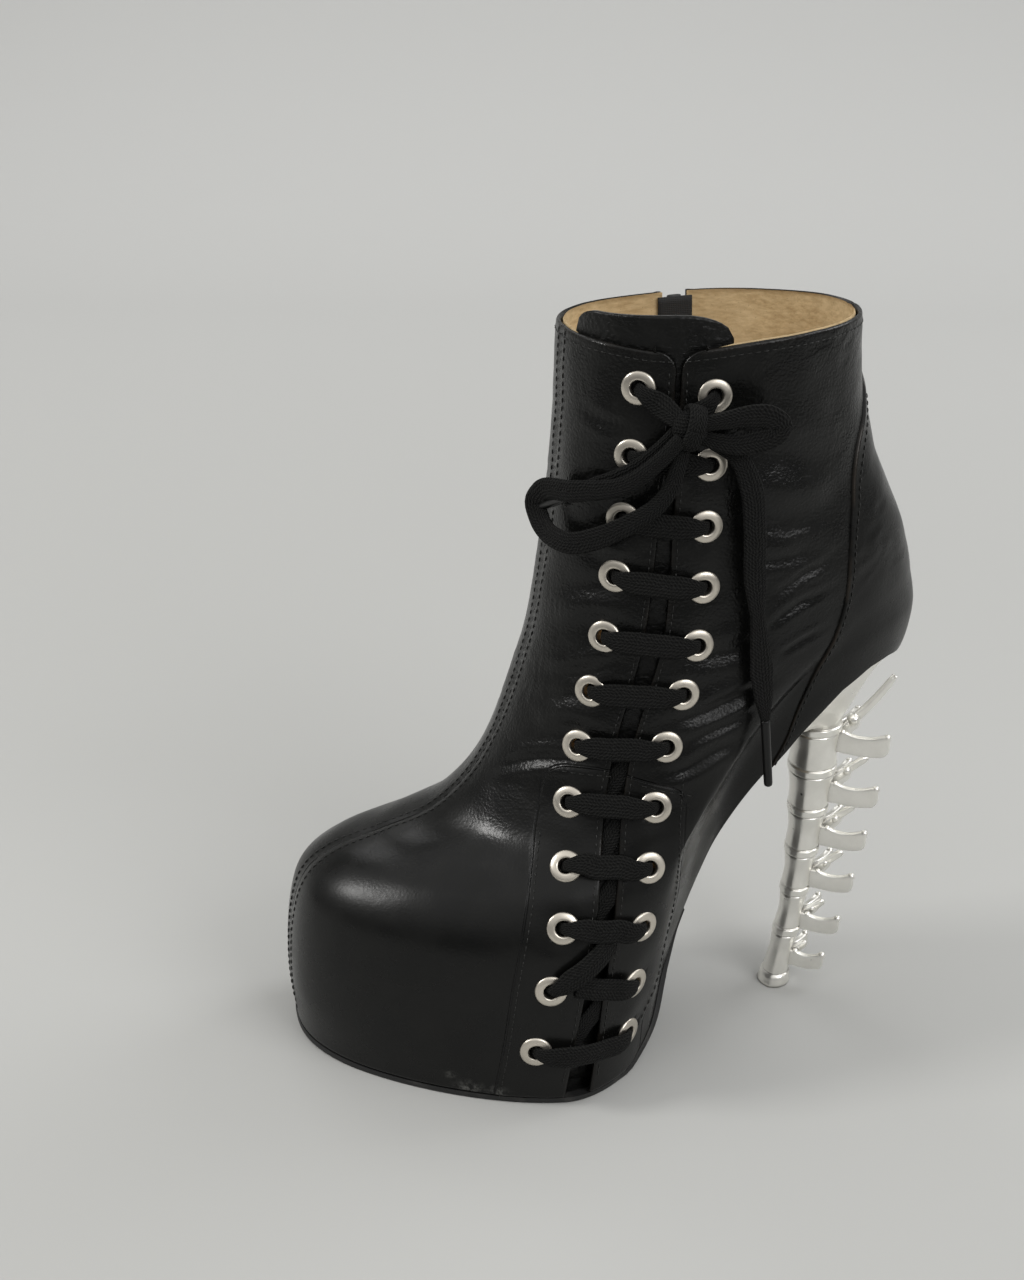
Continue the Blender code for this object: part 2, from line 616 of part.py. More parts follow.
def build_filling(pocket, leather, sock):
    """Platform under the footbed and insole on it, both cut to the inside of the upper."""
    bed = route(FOOTBED, 8.0)
    front = bed[bed[:, 0] < PLATFORM_END_Y]
    end_z = float(np.interp(PLATFORM_END_Y, bed[:, 0], bed[:, 1]))
    base_end = float(np.interp(PLATFORM_END_Y, SOLE_FINE[:, 0], SOLE_FINE[:, 1]))
    beyond = np.arange(OUTSOLE_END + 0.02, 0.95, 0.02)
    base = sole_at(np.concatenate([0.5 - 0.5 * np.cos(outsole_angles()), beyond]))
    base = base[base[:, 0] < PLATFORM_END_Y]
    under = [(-125.0, base[0][1]), *[tuple(p) for p in base]]
    under += [(PLATFORM_END_Y, base_end), (PLATFORM_END_Y, end_z - GAP)]
    under += [(y, z - GAP) for y, z in front[::-1]]
    band = [tuple(p) for p in bed] + [(y, z + INSOLE) for y, z in bed[::-1]]
    for name, outline, finish in (("platform", under, leather), ("insole", band, sock)):
        item = add_object(name, core_body(name), finish)
        boolean(item, "INTERSECT", plate(name + "_bounds", [outline], 160.0, SIDE_VIEW))
        boolean(item, "DIFFERENCE", pocket)


def outsole_angles():
    """Angles of the outsole's sections, closer together at the toe and round the arch."""
    end = math.acos(1 - 2 * OUTSOLE_END)
    return np.concatenate([np.radians((5, 9, 14, 20, 27, 35, 48, 62)), np.linspace(0.76, 1, 13) * end])


def build_outsole(finish):
    """Thin sole that follows the sole edge from the toe up the arch and thins out at its end."""
    angles = outsole_angles()
    along = 0.5 - 0.5 * np.cos(angles)
    centre = sole_at(along)
    ahead = unit(sole_at(along + 1e-3) - sole_at(along - 1e-3))
    down = np.stack([ahead[:, 1], -ahead[:, 0]], -1)
    thin = np.clip((OUTSOLE_END - along) / 0.09, 0.3, 1.0)
    inset = 0.4
    sections = []
    for k, angle in enumerate(angles):
        outer, inner = skin(angle, 0.0)[0] - inset, skin(2 * np.pi - angle, 0.0)[0] + inset
        top = centre[k] + down[k] * GAP
        low = centre[k] + down[k] * (GAP + OUTSOLE * thin[k])
        sections.append([(inner, *low), (outer, *low), (outer, *top), (inner, *top)])
    loft("outsole", sections, finish)


def build_counter(grid, finish):
    """Panel over the heel: the wall's own facets, moved outwards and cut to the panel's outline."""
    rows = [k for k, level in enumerate(UPPER_LEVELS) if level < 11.5]
    first, last = BACK_SEAM - 5, BACK_SEAM + 6
    levels = np.array([UPPER_LEVELS[k] for k in rows], float)
    theta = np.stack([upper_angles(level)[first:last] for level in levels])
    lifted = grid[rows, first:last] + GAP * skin_normal(theta, np.repeat(levels[:, None], last - first, 1))
    counter = sheet("counter", lifted, -COUNTER, finish)
    edge_levels = np.linspace(0, COUNTER_EDGE[-1][0], 14)
    edge = skin(np.radians(through(COUNTER_EDGE, edge_levels)), edge_levels)[:, 1:]
    foot, head = edge[0] - np.array([0.0, 15.0]), edge[-1]
    outline = [tuple(foot), *[tuple(p) for p in edge], (140.0, head[1] + 8.0), (140.0, foot[1])]
    boolean(counter, "INTERSECT", plate("counter_bounds", [outline], 160.0, SIDE_VIEW))


def column_ring(z, extra=0.0):
    centre_y, radius = through(COLUMN, z)
    turns = cup_turns()
    return np.stack([(radius + extra) * np.cos(turns), centre_y + (radius + extra) * np.sin(turns),
                     np.full(len(turns), float(z))], -1)


def cup_turns():
    """Angles of the heel's section points, mirrored about the length of the boot, with the breast corners."""
    half = np.radians((90, 70, 48, 26, 4, -18, -40, -64, -90))
    return np.concatenate([half, np.pi - half[-2:0:-1]])


def seat_ring(wall_edge):
    """Heel seat under the upper's edge: its back outline, closed straight across at the breast."""
    theta = np.linspace(0, 2 * np.pi, 721)
    outline = skin(theta, 0.0)[:, :2]
    outline[:, 1] = np.maximum(outline[:, 1], BREAST_Y)
    spokes = outline - np.array([0.0, CUP_CENTRE_Y])
    bearing = np.unwrap(np.arctan2(spokes[:, 1], spokes[:, 0]))
    order = np.argsort(bearing % (2 * np.pi))
    reach = np.interp(cup_turns() % (2 * np.pi), (bearing % (2 * np.pi))[order],
                      np.linalg.norm(spokes, axis=1)[order], period=2 * np.pi) - GAP
    x, y = reach * np.cos(cup_turns()), CUP_CENTRE_Y + reach * np.sin(cup_turns())
    outer, inner = wall_edge[BACK_SEAM - 6:BACK_SEAM + 1, 1:], wall_edge[BACK_SEAM:BACK_SEAM + 7, 1:][::-1]
    facets = [np.interp(y, edge[:, 0], edge[:, 1]) for edge in (outer, inner)]
    return np.stack([x, y, np.minimum(*facets) - GAP], -1)


def build_heel(wall_edge, finish):
    heights = [TIP_HEIGHT + GAP, FLARE_TOP_Z]
    for ring, above in zip(RING_HEIGHTS[::-1], RING_HEIGHTS[-2::-1] + (None,)):
        heights += [ring - 1.7, ring - 0.8, ring + 0.8, ring + 1.7]
        if above:
            heights.append((ring + above) / 2)
    sections = []
    for z in heights:
        bead = RING_BEAD if min(abs(z - ring) for ring in RING_HEIGHTS) < 1 else 0.0
        waist = COLUMN_WAIST if min(abs(z - ring) for ring in RING_HEIGHTS) > 5 else 0.0
        sections.append(column_ring(z, bead - waist))
    foot, seat = column_ring(RING_HEIGHTS[0], 0.2), seat_ring(wall_edge)
    foot[:, 2] = CUP_FOOT_Z
    for share in (0.0, 0.3, 0.55, 0.78, 1.0):
        ring = foot + (seat - foot) * share
        ring[:, :2] = foot[:, :2] + (seat[:, :2] - foot[:, :2]) * share ** CUP_FLARE
        sections.append(ring)
    heel = loft("heel", sections, finish, mirrored=True)
    for k, row in enumerate(VERTEBRAE):
        size = dict(zip(VERTEBRA_COLUMNS, row))
        root = Vector((0.0, float(through(COLUMN, size["z"])[0]), size["z"]))
        for side in (1, -1):
            boolean(heel, "UNION", blade(f"blade_{k + 1}_{'outer' if side > 0 else 'inner'}", root, side, size))
        boolean(heel, "UNION", back_spine(f"spine_{k + 1}", root, size))


def blade(name, root, side, size):
    """Side blade of a vertebra: an upright plate, splayed back, with a sagging top and an upturned end."""
    run = np.linspace(0, 1, 6)
    curl = size["rise"] * run ** 3
    half = size["height"] / 2 * (1 - 0.12 * run)
    low = [(size["length"] * s, c - h) for s, c, h in zip(run, curl, half)]
    high = [(size["length"] * s, c + h - 0.9 * math.sin(math.pi * s)) for s, c, h in zip(run, curl, half)]
    splay = math.radians(BLADE_SPLAY)
    ahead = Vector((side * math.sin(splay), math.cos(splay), 0.0))
    up = Vector((0, 0, 1))
    return plate(name, [low + high[::-1]], BLADE_THICK, frame_matrix(root, ahead, up, ahead.cross(up)))


def back_spine(name, root, size):
    """Thin spine that rises from the back of a vertebra."""
    slope, length = math.radians(size["spine_slope"]), size["spine_length"]
    ahead = Vector((0, math.cos(slope), math.sin(slope)))
    up = Vector((0, -math.sin(slope), math.cos(slope)))
    outline = [(0, -1.6), (length * 0.7, -1.3), (length, -1.5), (length, 1.1), (length * 0.7, 0.9), (0, 1.6)]
    foot = root - Vector((0, 0, size["spine_drop"]))
    return plate(name, [outline], SPINE_THICK, frame_matrix(foot, ahead, up, ahead.cross(up)))


def build_heel_tip(finish):
    tip = bmesh.new()
    base_y, base_radius = through(COLUMN, 0.0)
    top_radius = through(COLUMN, TIP_HEIGHT)[1]
    bmesh.ops.create_cone(tip, cap_ends=True, segments=20, radius1=base_radius * MM, radius2=top_radius * MM,
                          depth=TIP_HEIGHT * MM,
                          matrix=Matrix.Translation(Vector((0, base_y, TIP_HEIGHT / 2)) * MM))
    mesh = bpy.data.meshes.new("heel_tip")
    tip.to_mesh(mesh)
    tip.free()
    add_object("heel_tip", mesh, finish)


def zip_frame(level):
    """Point on the skin at the zip, its outward, upward and sideways directions."""
    angle = math.radians(float(through(ZIP_LINE, level)))
    above, below = min(level + 0.05, TOP_LEVEL), level - 0.05
    climb = unit(skin(math.radians(float(through(ZIP_LINE, above))), above)
                 - skin(math.radians(float(through(ZIP_LINE, below))), below))
    out = skin_normal(angle, level)
    up = unit(climb - out * (climb @ out))
    return skin(angle, level), out, up, np.cross(out, up)


def build_zip(tape, metal):
    """Tape with its coil behind the slot, the slider on the coil, and the pull tab on the slider."""
    sections = []
    levels = [level for level in UPPER_LEVELS if level > ZIP_END_LEVEL]
    for level in (ZIP_END_LEVEL - 0.2, ZIP_END_LEVEL + 0.06, *levels[:-1], TOP_LEVEL - 0.05):
        wide, narrow = zip_angles(level, ZIP_TAPE_WIDTH), zip_angles(level, ZIP_COIL_WIDTH)
        face = WALL + 1.5 * GAP + 0.7 * min(max(ZIP_END_LEVEL + 1.5 - level, 0.0), 1.0)
        back = face + ZIP_TAPE
        crest = face - ZIP_COIL * (1.0 if level > ZIP_END_LEVEL + 0.1 else 0.08)
        outline = ((wide[0], back), (wide[1], back), (wide[1], face), (narrow[1], face),
                   (narrow[1], crest), (narrow[0], crest), (narrow[0], face), (wide[0], face))
        sections.append([under_skin(angle, level, depth) for angle, depth in outline])
    loft("zip_tape", sections, tape)

    point, out, up, side = zip_frame(SLIDER_LEVEL)
    out, up, side = Vector(out), Vector(up), Vector(side)
    floor = Vector(point) - out * (WALL - ZIP_COIL)
    half = SLIDER_LENGTH / 2
    body = [(-half, -SLIDER_WIDTH / 2 + 1.2), (-half + 1.5, -SLIDER_WIDTH / 2), (half, -SLIDER_WIDTH / 2),
            (half, SLIDER_WIDTH / 2), (-half + 1.5, SLIDER_WIDTH / 2), (-half, SLIDER_WIDTH / 2 - 1.2)]
    middle = floor + out * SLIDER_THICK / 2
    slider = plate("zip_slider", [body], SLIDER_THICK, frame_matrix(middle, up, -side, out), metal)
    top = floor + out * SLIDER_THICK
    arch = [(-3.5, -0.6), (-3.5, 2.6), (-2.5, 3.3), (2.5, 3.3), (3.5, 2.6), (3.5, -0.6),
            (2.3, -0.6), (2.3, 2.2), (-2.3, 2.2), (-2.3, -0.6)]
    boolean(slider, "UNION", plate("zip_bridge", [arch], 2.0, frame_matrix(top, up, out, up.cross(out))))

    axis = top + out * PULL_AXIS_HEIGHT
    pivot = bpy.data.objects.new("zip_pull_pivot", None)
    COLLECTIONS["boot"].objects.link(pivot)
    pivot.matrix_world = frame_matrix(axis, side, up, side.cross(up))
    edge = PULL_THICK / 2
    tab = [(-2.7, edge), (2.7, edge), (2.7, -6.0), (3.4, -9.0), (2.8, -14.0), (3.3, -19.0),
           (3.1, 0.8 - PULL_LENGTH),
           (1.8, -PULL_LENGTH), (-1.8, -PULL_LENGTH), (-3.1, 0.8 - PULL_LENGTH), (-3.3, -19.0), (-2.8, -14.0),
           (-3.4, -9.0), (-2.7, -6.0)]
    eye = [(-1.6, -edge), (1.6, -edge), (1.6, -5.0), (-1.6, -5.0)]
    pull = plate("zip_pull", [tab, eye], PULL_THICK, Matrix.Identity(4), metal)
    pull.parent = pivot


def main():
    for item in list(bpy.data.objects):
        bpy.data.objects.remove(item)
    for name in ("boot", "cutters"):
        COLLECTIONS[name] = bpy.data.collections.new(name)
        bpy.context.scene.collection.children.link(COLLECTIONS[name])
    leather = material("black_leather", (0.012, 0.012, 0.012), 0.42)
    sock = material("tan_sock", (0.55, 0.42, 0.25), 0.8)
    rubber = material("black_rubber", (0.01, 0.01, 0.01), 0.6)
    silver = material("satin_silver", (0.72, 0.71, 0.68), 0.35, 0.9)
    steel = material("polished_steel", (0.75, 0.73, 0.7), 0.22, 1.0)
    cotton = material("black_cotton", (0.012, 0.012, 0.012), 0.9)
    plastic = material("black_plastic", (0.01, 0.01, 0.01), 0.4)

    grid = upper_grid()
    rows, columns = grid.shape[:2]
    wall = BVHTree.FromPolygons([tuple(p) for p in grid.reshape(-1, 3)], halves(grid_faces(rows, columns)))
    turns = np.linspace(0, 2 * np.pi, 91)[:-1]
    around = skin(turns[None], np.linspace(0, TOP_LEVEL, 61)[:, None])
    whole = BVHTree.FromPolygons([tuple(p) for p in around.reshape(-1, 3)],
                                 grid_faces(*around.shape[:2], closed=True))
    eyelets = find_eyelets(wall)

    build_upper(grid, eyelets, leather)
    build_counter(grid, leather)
    sheet("tongue", tongue_grid(WALL + GAP, 0.25, 0.0, 7.0), TONGUE, leather)
    pocket = sheet("tongue_pocket", tongue_grid(WALL - 1.0, 0.0, 0.8, 0.0), TONGUE + 1.0 + 2 * GAP)
    build_filling(pocket, leather, sock)
    build_outsole(rubber)
    build_heel(grid[0], silver)
    build_heel_tip(silver)
    build_eyelets(eyelets, steel)
    build_lace_bars(eyelets, whole, cotton)
    build_bow(whole, cotton, plastic)
    build_zip(plastic, steel)
    for item in bpy.data.objects:
        if item.parent is None:
            item.location -= Vector(FLOOR_MIDDLE) * MM


main()
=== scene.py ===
"""Looks of a left heeled platform boot: leather, lining, seams, lace, zip and the cast spine heel.

Sizes are millimetres in the frame of the boot's own last and become metres in the model's frame.
theta runs round the upper from the front seam (0) over the laced outer side to the back seam (pi),
and level runs up the wall from the sole edge (0) to the collar (12).
"""

import math

import bmesh
import bpy
import numpy as np
from mathutils import Matrix, Vector, noise
from mathutils.bvhtree import BVHTree


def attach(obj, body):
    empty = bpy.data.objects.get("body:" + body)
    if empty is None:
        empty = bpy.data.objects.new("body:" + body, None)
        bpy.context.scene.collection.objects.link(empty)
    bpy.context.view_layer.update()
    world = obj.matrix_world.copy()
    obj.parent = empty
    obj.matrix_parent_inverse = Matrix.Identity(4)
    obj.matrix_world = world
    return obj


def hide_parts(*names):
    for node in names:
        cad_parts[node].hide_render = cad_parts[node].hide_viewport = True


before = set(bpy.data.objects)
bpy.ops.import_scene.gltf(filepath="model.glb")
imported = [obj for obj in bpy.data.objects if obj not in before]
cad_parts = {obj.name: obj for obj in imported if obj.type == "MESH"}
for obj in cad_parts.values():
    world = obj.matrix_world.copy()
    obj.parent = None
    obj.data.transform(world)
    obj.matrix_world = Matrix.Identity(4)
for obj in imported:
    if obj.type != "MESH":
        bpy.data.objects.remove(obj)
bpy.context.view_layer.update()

MM = 0.001
FLOOR_MIDDLE = np.array((8.97, -1.59, 0.0))
BOOT = "boot"

# Photograph's camera: focal length in pixels, turn, tilt and roll in degrees, distance and target
CAMERA = {"focal": 1858.0, "turn": 75.8, "tilt": 22.3, "roll": 0.7, "distance": 676.0}
CAMERA_TARGET = (-44.4, -23.9, 129.6)
PICTURE_HEIGHT = 1280

# Level sections of the last, from the sole edge to the collar
LEVEL_COLUMNS = (
    "front_x", "front_y", "front_z", "back_y", "back_z",
    "follow", "ball", "shank", "waist", "heel", "power",
)
LEVELS = (
    (-14.0, -110.5, 3.4, 101.0, 133.0, 1.00, 49.0, 29.5, 25.0, 26.0, 2.7),
    (-14.0, -112.5, 23.0, 105.5, 141.0, 0.93, 49.8, 34.0, 27.5, 27.0, 2.7),
    (-13.5, -111.5, 45.0, 107.5, 149.0, 0.84, 49.0, 39.5, 30.0, 27.0, 2.7),
    (-12.5, -107.0, 61.0, 108.0, 155.0, 0.74, 47.5, 42.5, 32.5, 27.0, 2.65),
    (-11.0, -96.5, 71.0, 107.3, 160.0, 0.62, 44.5, 43.5, 34.5, 26.5, 2.4),
    (-9.5, -79.5, 77.5, 106.0, 165.5, 0.50, 41.0, 42.5, 36.0, 26.0, 2.15),
    (-7.5, -61.5, 85.0, 104.5, 172.0, 0.35, 38.5, 41.0, 36.5, 25.5, 2.1),
    (-5.0, -47.5, 100.0, 102.0, 179.5, 0.20, 37.0, 39.5, 36.5, 25.0, 2.15),
    (-3.5, -37.5, 121.0, 98.5, 189.0, 0.08, 36.3, 38.0, 36.5, 24.5, 2.2),
    (-2.0, -29.0, 149.0, 93.0, 200.5, 0.02, 35.8, 37.0, 36.0, 23.5, 2.4),
    (-1.0, -24.0, 182.0, 87.0, 213.0, 0.0, 35.0, 36.5, 35.5, 22.5, 2.5),
    (0.0, -21.0, 218.0, 82.5, 231.5, 0.0, 35.0, 37.0, 36.0, 22.5, 2.5),
    (0.0, -20.0, 255.0, 80.0, 258.5, 0.0, 35.0, 37.5, 36.5, 22.5, 2.5),
)
TOP_LEVEL = len(LEVELS) - 1
STATIONS = (0.285, 0.45, 0.65, 0.90)
BACK_POWER = 2.1
TREAD_Z = 2.6
COLLAR_DIP = 3.0
COLLAR_DIP_WIDTH = 0.45
SOLE_LINE = (
    (-110.5, 3.4), (-94.0, 2.6), (-45.0, 2.6), (-4.0, 2.6), (6.5, 10.5), (14.0, 30.0),
    (23.0, 55.0), (34.5, 82.0), (48.0, 104.0), (61.0, 117.0), (80.0, 126.0), (101.0, 133.0),
)
FOOT_BEND = ((0.0, 1.0), (0.285, -0.60), (0.5, -0.15), (0.65, 0.0), (1.0, 0.0))
WALL = 2.2
GAP = 0.3
OUTSOLE = 2.3
OUTSOLE_END = 0.575

# Lace rows on the outer side: height, y of the front and back eyelets, width of the gap
LACE_LINE = (
    (0.0, -43.0, -7.0, 10.0), (21.0, -39.6, -5.1, 9.5), (43.0, -35.0, -3.3, 8.0),
    (83.0, -26.7, 0.6, 6.5), (122.0, -19.5, 7.0, 7.0), (158.0, -12.0, 17.0, 7.5),
    (200.0, -7.0, 18.6, 5.0), (240.0, -3.9, 19.2, 2.4), (260.0, -3.6, 19.4, 2.0),
)
# Height of the front and back eyelet of each lace row
EYELET_HEIGHTS = (
    (241.4, 239.3), (219.9, 217.3), (199.0, 197.0), (179.7, 176.8), (159.0, 157.4), (140.0, 140.9),
    (120.7, 123.1), (102.0, 102.8), (83.8, 83.0), (66.6, 62.2), (45.2, 39.9), (22.2, 20.0),
)
EYELET_ROWS = len(EYELET_HEIGHTS)
EYELET_RADIUS = 5.5
EYELET_PUNCH = 3.7
FACING_CORNER = 6.5
GAP_CLOSE = 0.45
LACE_WIDTH = 8.0
LACE_THICK = 1.8

# Zip on the inner side: level, angle in degrees
ZIP_LINE = ((0.0, 264.0), (4.0, 265.0), (8.0, 268.0), (12.0, 271.0))
ZIP_END_LEVEL = 6.0
ZIP_SLOT = 9.0

# Counter: level, angle of its front edge in degrees
COUNTER_EDGE = ((0.0, 125.0), (4.0, 127.0), (7.0, 126.0), (9.0, 131.0), (10.4, 148.0), (11.0, 166.0))


def weights(stations, at, flat_ends=False):
    """Share of each station's value in a smooth curve through the stations, at each place."""
    xs = np.asarray(stations, float)
    shares = np.eye(len(xs))
    slopes = np.gradient(shares, xs, axis=0)
    if flat_ends:
        slopes[[0, -1]] = 0
    at = np.clip(np.asarray(at, float), xs[0], xs[-1])
    i = np.clip(np.searchsorted(xs, at, side="right") - 1, 0, len(xs) - 2)
    step = (xs[i + 1] - xs[i])[..., None]
    t = (at - xs[i])[..., None] / step
    start = (1 + 2 * t) * (1 - t) ** 2 * shares[i] + t * (1 - t) ** 2 * step * slopes[i]
    end = t * t * (3 - 2 * t) * shares[i + 1] + t * t * (t - 1) * step * slopes[i + 1]
    return start + end


def through(table, at):
    """Columns after the first of a table, read along its first column."""
    rows = np.asarray(table, float)
    values = weights(rows[:, 0], at) @ rows[:, 1:]
    return values[..., 0] if rows.shape[1] == 2 else values


def unit(vectors):
    return vectors / np.linalg.norm(vectors, axis=-1, keepdims=True)


def smooth(value, low, high):
    """0 below low, 1 above high, and a soft rise between."""
    t = np.clip((value - low) / (high - low), 0, 1)
    return t * t * (3 - 2 * t)


def bell(far, width):
    return np.exp(-(far / width) ** 2)


def route(points, spacing):
    """Points spaced evenly along a smooth curve through given points."""
    points = np.asarray(points, float)
    chord = np.concatenate([[0], np.cumsum(np.linalg.norm(np.diff(points, axis=0), axis=1))])
    fine = weights(chord, np.linspace(0, chord[-1], 400)) @ points
    run = np.concatenate([[0], np.cumsum(np.linalg.norm(np.diff(fine, axis=0), axis=1))])
    even = np.linspace(0, run[-1], max(2, round(run[-1] / spacing) + 1))
    return np.stack([np.interp(even, run, fine[:, k]) for k in range(points.shape[1])], -1)


SOLE_FINE = route(SOLE_LINE, 0.5)
SOLE_FINE[:, 1] = np.maximum(SOLE_FINE[:, 1], TREAD_Z)
SOLE_RUN = np.linspace(0, 1, len(SOLE_FINE))


def sole_at(along):
    """y, z of the sole edge at a share of its length."""
    return np.stack([np.interp(along, SOLE_RUN, SOLE_FINE[:, k]) for k in (0, 1)], -1)


def rounding(along, front_power, back_power):
    """Share of the full half width that the rounded ends of a section leave."""
    off_middle = 1 - 2 * along
    power = np.where(off_middle > 0, front_power, back_power)
    return np.maximum(1 - np.abs(off_middle) ** power, 0) ** (1 / power)


def collar_dip(theta):
    """How far the collar dips at the laced side."""
    return COLLAR_DIP * np.exp(-(((theta - math.radians(62.0)) / COLLAR_DIP_WIDTH) ** 2))


def skin(theta, level):
    """Outer skin of the last at these angles and levels."""
    theta, level = np.broadcast_arrays(np.asarray(theta, float), np.asarray(level, float))
    shape = theta.shape
    theta, level = theta.ravel() % (2 * np.pi), level.ravel()
    table = weights(np.arange(len(LEVELS)), level) @ np.array(LEVELS)
    row = {name: table[:, k] for k, name in enumerate(LEVEL_COLUMNS)}
    along = 0.5 - 0.5 * np.cos(theta)
    front = np.stack([row["front_y"], row["front_z"]], -1)
    back = np.stack([row["back_y"], row["back_z"]], -1)
    sole_start, sole_end = np.array(SOLE_LINE[0]), np.array(SOLE_LINE[-1])
    sag = sole_at(along) - (sole_start + (sole_end - sole_start) * along[:, None])
    side_view = front + (back - front) * along[:, None] + row["follow"][:, None] * sag
    full = [row[name] / rounding(np.array(station), row["power"], BACK_POWER)
            for name, station in zip(("ball", "shank", "waist", "heel"), STATIONS)]
    half = (weights(STATIONS, along, flat_ends=True) * np.stack(full, -1)).sum(-1)
    half *= rounding(along, row["power"], BACK_POWER)
    x = row["front_x"] * through(FOOT_BEND, along) + np.where(theta < np.pi, half, -half)
    z = side_view[:, 1] - collar_dip(theta) * np.clip(level - TOP_LEVEL + 1, 0, 1) ** 2
    return np.stack([x, side_view[:, 0], z], -1).reshape(*shape, 3)


def skin_normal(theta, level):
    step = 1e-3
    low, high = np.clip(level - step, 0, TOP_LEVEL), np.clip(level + step, 0, TOP_LEVEL)
    around = skin(theta + step, level) - skin(theta - step, level)
    return unit(np.cross(around, skin(theta, high) - skin(theta, low)))


def arc_speed(theta, level):
    """Millimetres along a section for each radian of theta."""
    return np.linalg.norm(skin(theta + 0.01, level) - skin(theta - 0.01, level), axis=-1) / 0.02


def lace_edges(level):
    """Angles of the front and back edges of the lace gap, whose top corners are rounded off."""
    theta = np.linspace(0.3, 2.4, 400)
    points = skin(theta, level)
    line = through(LACE_LINE, points[:, 2])
    middle = float(np.interp(0, points[:, 1] - (line[:, 0] + line[:, 1]) / 2, theta))
    half = float(np.interp(middle, theta, line[:, 2])) / 2 - GAP_CLOSE
    below = np.linalg.norm(skin(middle, TOP_LEVEL) - skin(middle, level))
    short = max(FACING_CORNER - below, 0.0)
    half += FACING_CORNER - math.sqrt(max(FACING_CORNER ** 2 - short ** 2, 0.0))
    speed = arc_speed(middle, level)
    return middle - half / speed, middle + half / speed


def zip_angle(level):
    return math.radians(float(through(ZIP_LINE, level)))


def zip_climb(level):
    """Upward direction along the zip, in the skin."""
    above, below = min(level + 0.05, TOP_LEVEL), level - 0.05
    climb = unit(skin(zip_angle(above), above) - skin(zip_angle(below), below))
    out = skin_normal(zip_angle(level), level)
    return unit(climb - out * (climb @ out))


def zip_edges(level, width):
    """Angles of the two edges of a strip of this width on the zip's line."""
    middle = zip_angle(level)
    around = (skin(middle + 0.01, level) - skin(middle - 0.01, level)) / 0.02
    climb = zip_climb(level)
    across = np.linalg.norm(around - climb * (around @ climb))
    return middle - width / 2 / across, middle + width / 2 / across


# Mesh helpers

def placed(points):
    """Points of the last, in millimetres, in the model's frame, in metres."""
    return (np.asarray(points, float) - FLOOR_MIDDLE) * MM


def grid_faces(rows, columns, closed=False):
    ends = columns if closed else columns - 1
    return [
        (r * columns + c, r * columns + (c + 1) % columns,
         (r + 1) * columns + (c + 1) % columns, (r + 1) * columns + c)
        for r in range(rows - 1) for c in range(ends)
    ]


def tube_faces(rows, columns):
    """Faces of a tube of rings, with a lid at each end."""
    lids = [tuple(reversed(range(columns))), tuple((rows - 1) * columns + k for k in range(columns))]
    return grid_faces(rows, columns, closed=True) + lids


def add_mesh(name, mesh, finishes):
    item = bpy.data.objects.new(name, mesh)
    bpy.context.scene.collection.objects.link(item)
    for finish in finishes:
        mesh.materials.append(finish)
    return item


def mesh_of(name, points, faces, attributes=None, uv=None):
    """Smooth mesh from points in millimetres, with float attributes and a UV map in metres."""
    mesh = bpy.data.meshes.new(name)
    mesh.from_pydata(placed(points).tolist(), [], faces)
    mesh.validate()
    mesh.shade_smooth()
    for key, values in (attributes or {}).items():
        mesh.attributes.new(key, "FLOAT", "POINT").data.foreach_set("value", np.asarray(values, np.float32))
    if uv is not None:
        corner = np.zeros(len(mesh.loops), np.int32)
        mesh.loops.foreach_get("vertex_index", corner)
        layer = mesh.uv_layers.new(name="UVMap")
        layer.data.foreach_set("uv", (np.asarray(uv, np.float32)[corner] * MM).ravel())
    return mesh


def outward(mesh, weld=0.0):
    """Turns all faces of a closed mesh outwards, with points nearer than weld metres made one first."""
    shape = bmesh.new()
    shape.from_mesh(mesh)
    if weld:
        bmesh.ops.remove_doubles(shape, verts=shape.verts, dist=weld)
    bmesh.ops.recalc_face_normals(shape, faces=shape.faces)
    shape.to_mesh(mesh)
    shape.free()
    return mesh


def applied(item):
    """Makes an object's modifiers part of its mesh."""
    made = bpy.data.meshes.new_from_object(item.evaluated_get(bpy.context.evaluated_depsgraph_get()))
    item.modifiers.clear()
    old = item.data
    item.data = made
    bpy.data.meshes.remove(old)
    return item


def thicken(item, depth, inner_finish=0, rim_only=False):
    solid = item.modifiers.new("thickness", "SOLIDIFY")
    solid.thickness = depth * MM
    solid.offset = -1.0
    solid.use_even_offset = False
    solid.use_rim_only = rim_only
    solid.material_offset = inner_finish
    bpy.context.view_layer.update()
    return applied(item)


def swept(name, points, sides, outs, widths, thicks, turns=14):
    """Closed flat cord along points: its width runs along sides and its thickness along outs."""
    points = np.asarray(points, float)
    angles = np.linspace(0, 2 * np.pi, turns, endpoint=False)
    flat = np.sign(np.cos(angles)) * np.abs(np.cos(angles)) ** 0.6
    high = np.sign(np.sin(angles)) * np.abs(np.sin(angles)) ** 0.75
    widths = np.broadcast_to(np.asarray(widths, float), len(points))
    thicks = np.broadcast_to(np.asarray(thicks, float), len(points))
    rings = (points[:, None] + sides[:, None] * (flat[:, None] * widths[:, None, None] / 2)
             + outs[:, None] * (high[:, None] * thicks[:, None, None] / 2))
    run = np.concatenate([[0], np.cumsum(np.linalg.norm(np.diff(points, axis=0), axis=1))])
    across = flat * LACE_WIDTH / 2 + 0.02 * high
    uv = np.stack(np.broadcast_arrays(run[:, None], across[None]), -1).reshape(-1, 2)
    return outward(mesh_of(name, rings.reshape(-1, 3), tube_faces(len(points), turns), uv=uv))


